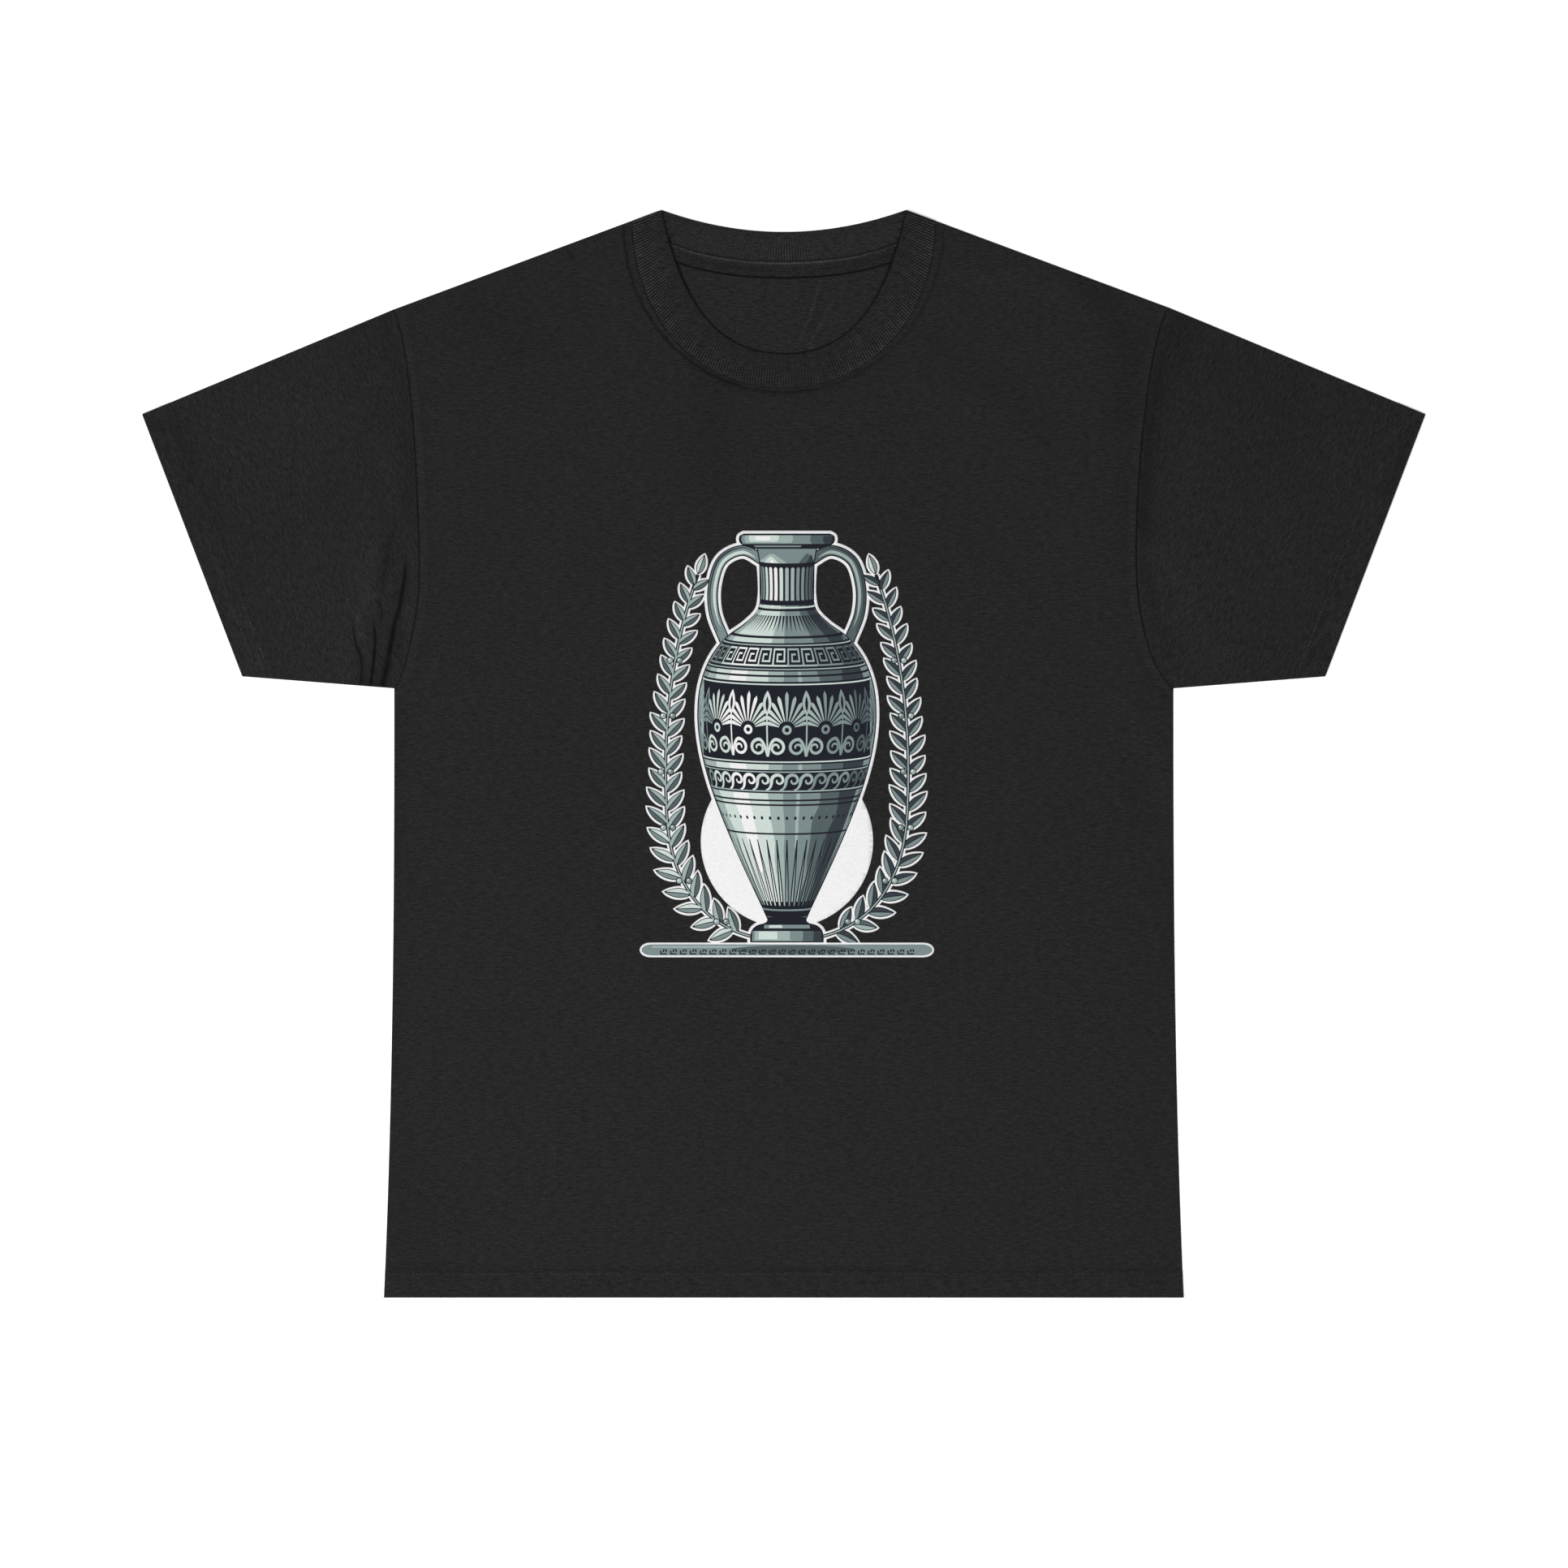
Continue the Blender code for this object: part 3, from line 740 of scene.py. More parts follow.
    # edges
    middle = FOLD_MID + 0.63 * MM * part - 0.01 * MM
    z = np.maximum(z, 1.20 * MM)
    z = round_edge(z, middle, d_fold, (1.7 + 0.6 * part) * MM)
    low = 1.02 * MM
    z = np.where(d_arm < 1.1 * MM, round_edge(z, low, d_arm, 1.1 * MM), z)
    z = np.where(d_neck < 0.6 * MM, round_edge(z, z - 0.55 * MM, d_neck, 0.6 * MM), z)
    hem_mid = FRONT_TOP - 0.04 * MM + 0.5 * MM
    z = np.where(depth < 0.8 * MM, round_edge(z, hem_mid, depth, 0.8 * MM), z)
    return z, lift, part, d_fold, d_arm, d_neck, depth, tone


def closed_panel(name, edges, top_rule, under_rule, spacing, under_spacing, rows, material,
                 top_rings=RINGS, under_rings=RINGS[::3], fine=False, more=None):
    loop, inner = panel_points(edges, spacing, 2.6 * MM, top_rings, rows, fine, more)
    _, under = panel_points(edges, under_spacing, 5.0 * MM, under_rings, rows[::4])
    top_pts, top_tri = triangles(loop, inner)
    low_pts, low_tri = triangles(loop, under)
    n = len(loop)
    # a corner cut off alike above and below gets a point of its own above
    alike = {tuple(sorted(t)) for t in top_tri.tolist() if max(t) < n}
    alike &= {tuple(sorted(t)) for t in low_tri.tolist() if max(t) < n}
    if alike:
        inner = np.concatenate([inner, [loop[list(t)].mean(axis=0) for t in sorted(alike)]])
        top_pts, top_tri = triangles(loop, inner)
    z_top, tone_top = top_rule(top_pts)
    z_low, tone_low = under_rule(low_pts[n:])
    verts = np.concatenate([np.column_stack([top_pts, z_top]), np.column_stack([low_pts[n:], z_low])])
    low_tri = np.where(low_tri >= n, low_tri + len(top_pts) - n, low_tri)[:, ::-1]
    return mesh_object(name, verts, np.concatenate([top_tri, low_tri]), [material],
                       tone=np.concatenate([tone_top, tone_low]))


def front_top(q):
    made = front_heights(q)
    return made[0], made[-1]


def front_under(q):
    z, lift, part, d_fold, d_arm, d_neck, depth, _ = front_heights(q)
    under = FRONT_UNDER + 0.48 * MM * part + 0.85 * lift
    under = round_edge(under, FOLD_MID + 0.60 * MM * part, d_fold, 0.8 * MM)
    return np.minimum(under, z - 0.12 * MM), np.ones(len(q))


FINE_ROWS = np.array([9.9, 10.5, 11.0, 11.5, 12.1, 13.4, 14.7, 15.7, 16.25, 16.7, 17.15, 17.8, 18.5, 19.1,
                      19.7, 20.4, 21.4, 22.9, 24.8]) * MM
front = closed_panel("front_panel_cloth", FRONT_EDGES, front_top, front_under, 3.7 * MM, 9 * MM,
                     FINE_ROWS, M_BODY, fine=True)
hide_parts("front_panel")

BACK_SWELL = Swell(41, 0.05, 0.16, 8)


RIB_EDGE = np.concatenate([flipped(cubic(RIB_FREE, 70))[:-1], cubic(RIB_FREE, 70)[::-1]])
TAPE_X = np.linspace(-TAPE_HALF_LENGTH, TAPE_HALF_LENGTH, 140)
TAPE_EDGE = shifted(np.stack([TAPE_X, back_seam_y(TAPE_X)], 1), -(TAPE_WIDTH + 0.0003))


def under_edges(q, wide=0.55):
    """Shade in the narrow gap below the collar's free edge."""
    d, _ = near(q, RIB_EDGE)
    soft = ease(0.345, 0.300, q[:, 1])
    return 1 - (0.84 - 0.14 * soft) * bump(d, wide * (1 - 0.15 * soft) * MM)


INNER_CREASES = (
    # line, width, height, painted light
    (px(((1011, 345), (1003, 376), (995, 398), (981, 426))), 1.4, 0.22, 0.24),
    (px(((1028, 367), (1014, 395), (998, 425))), 1.3, 0.16, 0.17),
    (px(((905, 352), (921, 381), (930, 404))), 1.8, 0.12, 0.06),
)


def back_top(q):
    d_fold = nearest(q, BACK_LINES["fold"])
    d_arm = nearest(q, BACK_LINES["hole"])
    d_neck, _ = near(q, BACK_LINES["neck"])
    depth = q[:, 1] + HALF_LENGTH
    part = hem_part(depth, HEM_TURN + 0.5 * MM * np.sin(q[:, 0] * 31 + 2))
    calm = ease(0.012, 0.06, d_fold)
    z = BACK_TOP + 0.71 * MM * part + 0.07 * MM * BACK_SWELL(q[:, 0], q[:, 1]) * calm
    # soft creases inside, below the tape, each with painted light on its crest and a foot that dips, with painted
    # shade in it
    tone = np.ones(len(q))
    for line, wide, tall, light in INNER_CREASES:
        d, s = near(q, spaced(line, 0.003))
        fade = ease(-0.002, 0.010, s) * ease(-0.002, 0.014, run_of(line)[-1] - s)
        z += fade * MM * (tall * bump(d, 1.7 * wide * MM) - 0.5 * tall * bump(d - 2.6 * MM, 1.2 * MM))
        tone *= 1 + fade * light * (bump(d, wide * MM) - 0.55 * bump(d - 2.6 * MM, 1.2 * MM))
    # painted shade below the collar's free edge, and painted shadow under the tape's lower edge
    tone *= under_edges(q)
    d, _ = near(q, TAPE_EDGE)
    tone *= 1 - 0.88 * bump(d, 0.80 * MM)
    z = round_edge(z, FOLD_MID + 0.02 * MM + 0.63 * MM * part, d_fold, 0.9 * MM)
    z = np.where(d_arm < 0.8 * MM, round_edge(z, 0.40 * MM, d_arm, 0.8 * MM), z)
    z = np.where(d_neck < 0.7 * MM, round_edge(z, 0.50 * MM, d_neck, 0.7 * MM), z)
    return np.where(depth < 0.7 * MM, round_edge(z, 0.69 * MM, depth, 0.7 * MM), z), tone


def back_under(q):
    d_fold = nearest(q, BACK_LINES["fold"])
    d_hole = nearest(q, BACK_LINES["hole"])
    d_neck, _ = near(q, BACK_LINES["neck"])
    depth = q[:, 1] + HALF_LENGTH
    part = hem_part(depth, HEM_TURN)
    z = np.full(len(q), 0.0)
    for row in HEM_ROWS:
        z += 0.20 * MM * bump(depth - row, 0.8 * MM)
    # the allowance inside shows below as well, so the cloth lifts beside the seams
    z += 0.10 * MM * bump(d_hole - 7.0 * MM, 1.2 * MM)
    z += 0.12 * MM * bump(d_neck - 6.0 * MM, 1.5 * MM)
    z = round_edge(z, FOLD_MID + 0.02 * MM + 0.63 * MM * part, d_fold, (1.6 + 0.5 * part) * MM)
    z = np.where(d_hole < 1.0 * MM, round_edge(z, 0.40 * MM, d_hole, 1.0 * MM), z)
    z = np.where(d_neck < 0.8 * MM, round_edge(z, 0.50 * MM, d_neck, 0.8 * MM), z)
    # painted shade along the seams and the stitch rows on the underside
    tone = 1 - 0.6 * bump(d_hole, 0.5 * MM) - 0.4 * bump(d_neck, 0.5 * MM)
    for row in HEM_ROWS:
        tone *= 1 - 0.18 * bump(depth - row, 0.6 * MM)
    return np.where(depth < 0.7 * MM, round_edge(z, 0.69 * MM, depth, 0.7 * MM), z), tone


collar_points = [shifted(spaced(RIB_EDGE, 2.0 * MM), d * MM) for d in (-1.8, -1.1, -0.7, -0.35, 0.0, 0.35, 0.7, 1.1, 1.8)]
collar_points += [shifted(spaced(TAPE_EDGE, 2.0 * MM), d * MM) for d in (-2.4, -1.5, -1.0, -0.6, -0.3, 0.0, 0.3, 0.8)]
gx, gy = np.meshgrid(np.arange(-0.078, 0.078, 0.0021), np.arange(0.284, 0.338, 0.0021))
gx = gx + np.where(np.arange(gx.shape[0]) % 2, 0.00105, 0.0)[:, None]
opening = np.stack([gx.ravel(), gy.ravel()], 1)
opening = opening[(near(opening, RIB_EDGE)[0] > 2.2 * MM) & (near(opening, TAPE_EDGE)[0] > 2.6 * MM)]
for line, *_ in INNER_CREASES:
    fine = spaced(line, 1.6 * MM)
    beside = np.concatenate([shifted(fine, d * MM) for d in (-3.2, -2.2, -1.4, -0.7, 0.0, 0.7, 1.4, 2.2, 3.2)])
    beside = beside[(near(beside, RIB_EDGE)[0] > 2.2 * MM) & (near(beside, TAPE_EDGE)[0] > 2.6 * MM)]
    opening = opening[near(opening, fine)[0] > 3.9 * MM]
    opening = np.concatenate([opening, beside])
collar_points = np.concatenate([*collar_points, opening])

back = closed_panel("back_panel_cloth", BACK_EDGES, back_top, back_under, 6.0 * MM, 5.2 * MM,
                    FINE_ROWS[::2], M_BACK, top_rings=RINGS[::2], under_rings=RINGS, more=collar_points)
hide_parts("back_panel")


# -------------------------------------------------------------------- sleeves
EDGE = np.array([0.0, 0.06, 0.2, 0.42, 0.72, 1.1, 1.6, 2.2, 3.0, 4.2, 5.8, 7.6]) * MM
INSET = 0.62 * MM
NEAR_HOLE = np.array([0.0, 0.12, 0.3, 0.55, 0.85, 1.2, 1.7, 2.4, 3.3, 4.6, 6.2, 8.0]) * MM
NEAR_CUFF = np.array([0.0, 0.06, 0.18, 0.38, 0.7, 1.3, 2.4, 4.0, 6.0, 8.0, 9.6, 10.2, 10.6, 11.0, 11.4, 11.8,
                      12.5, 14.0, 15.8, 17.4, 18.2, 18.6, 19.0, 19.4, 19.8, 20.3, 20.9, 21.6, 22.3, 23.2,
                      24.6, 26.6]) * MM


def columns(total, mid, edge):
    """Distances across a sleeve, dense at both folds."""
    e = edge[-1]
    return np.concatenate([edge, e + (total - 2 * e) * mid, (total - edge)[::-1]])


def sleeve(name, curves, sign, seed, material, creases=(), bulges=(), soft_items=()):
    hole = shifted(armhole(curves), -SEAM_LAP)
    hole_length = run_of(hole)[-1]
    tip, low = np.array(SLEEVE_TIP), np.array(CUFF_LOW)
    cuff_length = np.linalg.norm(low - tip)
    along = (low - tip) / cuff_length
    n_up, n_down = 150, 56

    def middle(n, dense):
        g = np.linspace(0, 1, 400)
        weight = 1 + dense * ease(0.52, 0.72, g)
        c = np.concatenate([[0], np.cumsum((weight[1:] + weight[:-1]) / 2)])
        c /= c[-1]
        return np.interp((np.arange(1, n + 1)) / (n + 1), c, g)

    def row_shares(n, dense):
        g = np.linspace(0, 1, 400)
        weight = 1 + dense * (1 - ease(0.34, 0.46, g))
        c = np.concatenate([[0], np.cumsum((weight[1:] + weight[:-1]) / 2)])
        c /= c[-1]
        return np.interp(np.arange(1, n + 1) / (n + 1), c, g)

    def ring_xy(mid, edge, depths_hole, depths_cuff, n_mid_rows, row_dense):
        a = at_run(hole, columns(hole_length, mid, edge))
        s = columns(cuff_length, mid, edge)
        b = tip + along * s[:, None]
        gap = a - b
        length = np.linalg.norm(gap, axis=1)
        reach = np.abs(gap[:, 0] * along[1] - gap[:, 1] * along[0])
        t_hole = depths_hole[:, None] / length[None]
        t_cuff = 1 - depths_cuff[::-1, None] / reach[None]
        g = row_shares(n_mid_rows, row_dense)
        t_mid = t_hole[-1] + (t_cuff[0] - t_hole[-1]) * g[:, None]
        t = np.concatenate([t_hole, t_mid, t_cuff])
        xy = a[None] + (b - a)[None] * t[..., None]
        return xy, t * length[None], (1 - t) * reach[None]

    top_a, top_b = hole[0], tip
    low_a, low_b = hole[-1], low

    def line_gap(p, a, b):
        d = (b - a) / np.linalg.norm(b - a)
        g = p - a
        return np.abs(g[..., 0] * d[1] - g[..., 1] * d[0])

    swell = Swell(seed, 0.06, 0.17, 8)
    soft = Swell(seed + 1, 0.030, 0.060, 6, angle=65 * sign, spread=70)
    rope = Swell(seed + 2, 0.006, 0.015, 8, angle=-20 * sign, spread=60)

    def upper(xy, from_hole, depth, pulls=True):
        flat = xy.reshape(-1, 2) * np.array([sign, 1.0])
        x, y = flat[:, 0], flat[:, 1]
        d_top = line_gap(xy, top_a, top_b).ravel()
        d_low = line_gap(xy, low_a, low_b).ravel()
        d_fold = np.minimum(d_top, d_low)
        hole_d, dep = from_hole.ravel(), depth.ravel()
        part = hem_part(dep, CUFF_TURN + 0.3 * MM * np.sin(y * 90))
        lift = np.clip(0.34 + 0.34 * swell(x, y), 0, 1.5) + 0.09 * soft(x, y)
        # the cloth stands up a little where the sleeve leaves the armhole
        ease_off = 0.38 * bump(hole_d - 14 * MM, 8 * MM) * ease(0.04, 0.12, y) * ease(0.32, 0.24, y)
        lift = (np.maximum(lift, 0) + ease_off) * ease(0.003, 0.030, d_fold)
        lift *= 0.25 + 0.75 * ease(0.004, 0.022, hole_d)
        lift *= 0.35 + 0.65 * ease(0.012, 0.045, dep)
        z = FRONT_TOP + HEM_RISE * part + lift * MM
        dz, tone = soft_shape(flat, soft_items)
        z = z + dz * ease(0.5 * MM, 5 * MM, hole_d) * ease(0.5 * MM, 5 * MM, dep)
        if len(creases) and pulls:
            dz, dt = crease_shape(flat, creases, bulges)
            z = z + dz * ease(0.3 * MM, 3 * MM, hole_d)
            tone = tone * dt
        # painted shadow line in the armhole seam's slit, fainter towards the underarm
        fine_end = 0.35 + 0.65 * ease(0.050, 0.115, y)
        tone = tone * (1 - 0.86 * fine_end * bump(hole_d, 0.38 * MM))
        # right sleeve: painted shade beside the armhole, and painted light a little further out
        if sign > 0:
            span = ease(0.11, 0.16, y) * ease(0.30, 0.27, y)
            tone *= 1 - 0.11 * span * bump(hole_d - 6.0 * MM, 4.0 * MM)
            tone *= 1 + 0.06 * span * bump(hole_d - 14.0 * MM, 4.0 * MM)
        # cuff: painted shade along the sunk stitch rows, painted light and shade on the ropes between, and on the left
        # sleeve a band of painted light towards the underarm
        for row, deep in zip(CUFF_ROWS, (0.10, 0.16)):
            tone *= 1 - deep * bump(dep - row, 0.55 * MM)
        tone *= 1 + 0.10 * rope(x, y) * bump(dep - 14 * MM, 4.5 * MM)
        if sign < 0:
            tone *= 1 + 0.09 * ease(0.165, 0.085, y) * bump(dep - 14.5 * MM, 6.5 * MM)
        for row, sink in zip(CUFF_ROWS, (0.24, 0.22)):
            z -= sink * MM * bump(dep - row, 0.75 * MM)
        z += 0.055 * MM * rope(x, y) * bump(dep - 12 * MM, 9 * MM)
        z += 0.04 * MM * np.sin(hole_d * 0 + y * 2 * math.pi / 0.0033) * bump(hole_d - 0.7 * MM, 0.7 * MM)
        z = np.maximum(z, 1.18 * MM)
        mid = FOLD_MID + 0.63 * MM * part
        z = round_edge(z, mid, d_fold, (1.7 + 0.6 * part) * MM)
        z = np.where(hole_d < 0.9 * MM, round_edge(z, np.minimum(z, 1.02 * MM), hole_d, 0.9 * MM), z)
        shape = depth.shape
        return z.reshape(shape), d_fold.reshape(shape), part.reshape(shape), tone.reshape(shape)

    def lower(xy, from_hole, depth):
        d_fold = np.minimum(line_gap(xy, top_a, top_b), line_gap(xy, low_a, low_b))
        part = hem_part(depth, CUFF_TURN)
        z = np.zeros(depth.shape)
        for row in CUFF_ROWS:
            z += 0.20 * MM * bump(depth - row, 0.8 * MM)
        mid = FOLD_MID + 0.63 * MM * part
        z = round_edge(z, mid, d_fold, (1.6 + 0.5 * part) * MM)
        z = np.where(from_hole < 1.0 * MM, round_edge(z, np.maximum(z, 0.40 * MM), from_hole, 1.0 * MM), z)
        return z

    dense = 1.3 if len(creases) else 0.2
    up_mid, down_mid = middle(n_up, dense), middle(n_down, 0.0)
    rows_mid, row_dense = (150, 4.0) if len(creases) else (84, 0.0)
    up_xy, up_hole, up_depth = ring_xy(up_mid, EDGE, NEAR_HOLE, NEAR_CUFF, rows_mid, row_dense)
    lo_xy, lo_hole, lo_depth = ring_xy(down_mid, EDGE, NEAR_HOLE, NEAR_CUFF, rows_mid, row_dense)
    up_z, up_fold, up_part, up_tone = upper(up_xy, up_hole, up_depth)
    lo_z = lower(lo_xy, lo_hole, lo_depth)
    # cuff edge: the doubled layers round over to their own middle
    cuff_up, cuff_low = 2.16 * MM, 0.70 * MM

    def cuff_round(z, depth, fold, centre, over):
        mid = FOLD_MID + 0.63 * MM
        aim = round_edge(np.full(z.shape, centre), mid, fold, 1.6 * MM)
        return np.where(depth < 0.75 * MM, round_edge(z, aim, depth, 0.75 * MM), z)

    lo_fold = np.minimum(line_gap(lo_xy, top_a, top_b), line_gap(lo_xy, low_a, low_b))
    up_z = cuff_round(up_z, up_depth, up_fold, cuff_up, True)
    lo_z = cuff_round(lo_z, lo_depth, lo_fold, cuff_low, False)

    outer_xy = np.concatenate([up_xy, lo_xy[:, -2:0:-1]], axis=1)
    outer_z = np.concatenate([up_z, lo_z[:, -2:0:-1]], axis=1)

    # inner wall, coarser along the sleeve
    edge_in = INSET + EDGE * (EDGE[-1] - INSET) / EDGE[-1]
    hole_in = NEAR_HOLE[::4]
    cuff_in = NEAR_CUFF[[1, 4, 8, 25, 28, 31]]
    in_up_xy, in_up_hole, in_up_depth = ring_xy(up_mid, edge_in, hole_in, cuff_in, 12, 0)
    in_lo_xy, in_lo_hole, in_lo_depth = ring_xy(down_mid, edge_in, hole_in, cuff_in, 12, 0)
    top_of, fold_of, part_of, _ = upper(in_up_xy, in_up_hole, in_up_depth, False)
    mid = FOLD_MID + 0.63 * MM * part_of
    under = np.maximum(top_of - (0.60 + 0.72 * part_of) * MM, mid + 0.05 * MM)
    under = np.minimum(under, top_of - 0.08 * MM)
    for line, *_ in creases:
        gap = near(in_up_xy.reshape(-1, 2) * np.array([sign, 1.0]), line)[0].reshape(under.shape)
        under = np.where(gap < 30 * MM, np.minimum(under, mid + 0.10 * MM), under)
    k = np.clip((fold_of - INSET) / (0.8 * MM), 0, 1)
    in_up_z = mid + (under - mid) * np.sqrt(np.maximum(0, 1 - (1 - k) ** 2))
    part_lo = hem_part(in_lo_depth, CUFF_TURN)
    mid_lo = FOLD_MID + 0.63 * MM * part_lo
    above = np.minimum((0.62 + 0.72 * part_lo) * MM, mid_lo - 0.05 * MM)
    fold_lo = np.minimum(line_gap(in_lo_xy, top_a, top_b), line_gap(in_lo_xy, low_a, low_b))
    k = np.clip((fold_lo - INSET) / (0.8 * MM), 0, 1)
    in_lo_z = mid_lo + (above - mid_lo) * np.sqrt(np.maximum(0, 1 - (1 - k) ** 2))
    inner_xy = np.concatenate([in_up_xy, in_lo_xy[:, -2:0:-1]], axis=1)
    inner_z = np.concatenate([in_up_z, in_lo_z[:, -2:0:-1]], axis=1)

    def stack(xy, z):
        return np.concatenate([xy * np.array([sign, 1.0]), z[..., None]], axis=2)

    outer, inner_wall = stack(outer_xy, outer_z), stack(inner_xy, inner_z)
    rows_o, cols = outer.shape[:2]
    rows_i = inner_wall.shape[0]
    verts = np.concatenate([outer.reshape(-1, 3), inner_wall.reshape(-1, 3)])
    base = rows_o * cols

    def quads(first, rows, flip_):
        r, c = np.meshgrid(np.arange(rows - 1), np.arange(cols), indexing="ij")
        a = first + r * cols + c
        b = first + r * cols + (c + 1) % cols
        f = np.stack([a, b, b + cols, a + cols], -1).reshape(-1, 4)
        return f[:, ::-1] if flip_ else f

    c = np.arange(cols)
    d = (c + 1) % cols
    at_hole = np.stack([c, base + c, base + d, d], 1)
    last_o, last_i = (rows_o - 1) * cols, base + (rows_i - 1) * cols
    at_cuff = np.stack([last_o + c, last_o + d, last_i + d, last_i + c], 1)
    faces = np.concatenate([quads(0, rows_o, False), quads(base, rows_i, True), at_hole, at_cuff])
    # the upper side, seen from above, has to run anticlockwise
    p = verts[faces[0]]
    turn = (p[1] - p[0])[0] * (p[2] - p[0])[1] - (p[1] - p[0])[1] * (p[2] - p[0])[0]
    if turn < 0:
        faces = faces[:, ::-1]
    # painted shade at the armhole seam on the underside
    lo_tone = 1 - 0.6 * bump(lo_hole, 0.5 * MM)
    tone = np.concatenate([np.concatenate([up_tone, lo_tone[:, -2:0:-1]], axis=1).ravel(),
                           np.ones(inner_wall.shape[0] * cols)])
    obj = mesh_object(name, verts, faces, [material], tone=tone)
    info = {"tip": tip * np.array([sign, 1]), "low": low * np.array([sign, 1]), "upper": upper, "sign": sign}
    return obj, info


left, left_info = sleeve("left_sleeve_cloth", ARMHOLE_LEFT, -1, 61, M_LEFT, CREASES_LEFT, BULGES_LEFT,
                         SOFT_LEFT)
right, right_info = sleeve("right_sleeve_cloth", ARMHOLE_RIGHT, 1, 83, M_RIGHT, soft_items=SOFT_RIGHT)
for obj, cad in ((left, "left_sleeve"), (right, "right_sleeve")):
    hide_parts(cad)


# ------------------------------------------------------------------- neck rib
# half of a section, folded double: distance in from the seam edge and height
# over the inner face, in mm, for a band 24 mm wide. ridge: how much rib shows.
SECTION = (
    # w, h, ridge
    (0.0, 0.85, 0.0), (0.0, 1.05, 0.0), (0.18, 1.30, 0.2), (0.6, 1.40, 0.7), (1.4, 1.40, 1.0), (3.2, 1.40, 1.0),
    (5.4, 1.40, 1.0), (7.8, 1.40, 1.0), (10.2, 1.40, 1.0), (12.6, 1.40, 1.0), (15.0, 1.40, 1.0),
    (17.4, 1.40, 1.0), (19.6, 1.40, 1.0), (21.4, 1.39, 1.0), (22.6, 1.36, 1.0), (23.3, 1.26, 1.1),
    (23.75, 1.08, 1.2), (24.0, 0.72, 1.2), (23.75, 0.34, 1.0), (23.3, 0.14, 0.8), (22.6, 0.03, 0.6),
    (20.0, 0.0, 0.6), (14.0, 0.0, 0.6), (8.0, 0.0, 0.6), (2.0, 0.0, 0.5), (0.5, 0.02, 0.2), (0.0, 0.15, 0.0),
    (0.0, 0.55, 0.0), (0.15, 0.655, 0.0), (8.0, 0.655, 0.0), (16.0, 0.655, 0.0), (22.3, 0.66, 0.0),
    (22.75, 0.70, 0.0), (22.3, 0.74, 0.0), (16.0, 0.745, 0.0), (8.0, 0.745, 0.0), (0.15, 0.745, 0.0),
)


def rib_stations():
    """Dense frames along the ring: free point, seam point, height rule."""
    n = 700
    start = 0.0095
    t = np.linspace(0, 1, n + 1)

    def half(points, first):
        p = cubic(points, 2000)
        u = np.linspace(0, 1, 2001)
        s = run_of(p)
        s0 = np.interp(first, u, s)
        # both edges advance by the same share of their own length
        return at_run(p, s0 + (s[-1] - s0) * t)

    free, seam = half(RIB_FREE, start), half(RIB_SEAM, start * 0.88)
    base = 1.0 * MM + (FOLD_AXIS_Z + FOLD_INNER - 1.0 * MM) * (1 - ease(0.33, 0.60, t))
    rows = []

    def add(f, s, zc, angle, out):
        rows.append((f[0], f[1], s[0], s[1], zc, angle, out[0], out[1]))

    left_f, left_s = flipped(free), flipped(seam)
    for i in range(n + 1):
        add(left_f[i], left_s[i], base[i] - FOLD_INNER, 0.0, (0, 0))
    for i in range(n - 1, -1, -1):
        add(free[i], seam[i], base[i] - FOLD_INNER, 0.0, (0, 0))
    for sign in (1, -1):
        a, b = free[0] * np.array([sign, 1.0]), seam[0] * np.array([sign, 1.0])
        d = (b - a) / np.linalg.norm(b - a)
        out = np.array([-d[1], d[0]]) * sign
        angles = np.radians(np.linspace(6, 174, 29))
        if sign == 1:
            for angle in angles:
                add(a, b, FOLD_AXIS_Z, angle, out)
            m = 500
            for i in range(1, 2 * m):
                s = 1 - i / m
                x0, x1 = NECK_POINT[0] * s, RIB_SEAM[0][0] * s
                add((x0, back_free_y(x0)), (x1, back_seam_y(x1)), FOLD_AXIS_Z, math.pi, (0, 0))
        else:
            for angle in angles[::-1]:
                add(a, b, FOLD_AXIS_Z, angle, out)
    return np.array(rows)


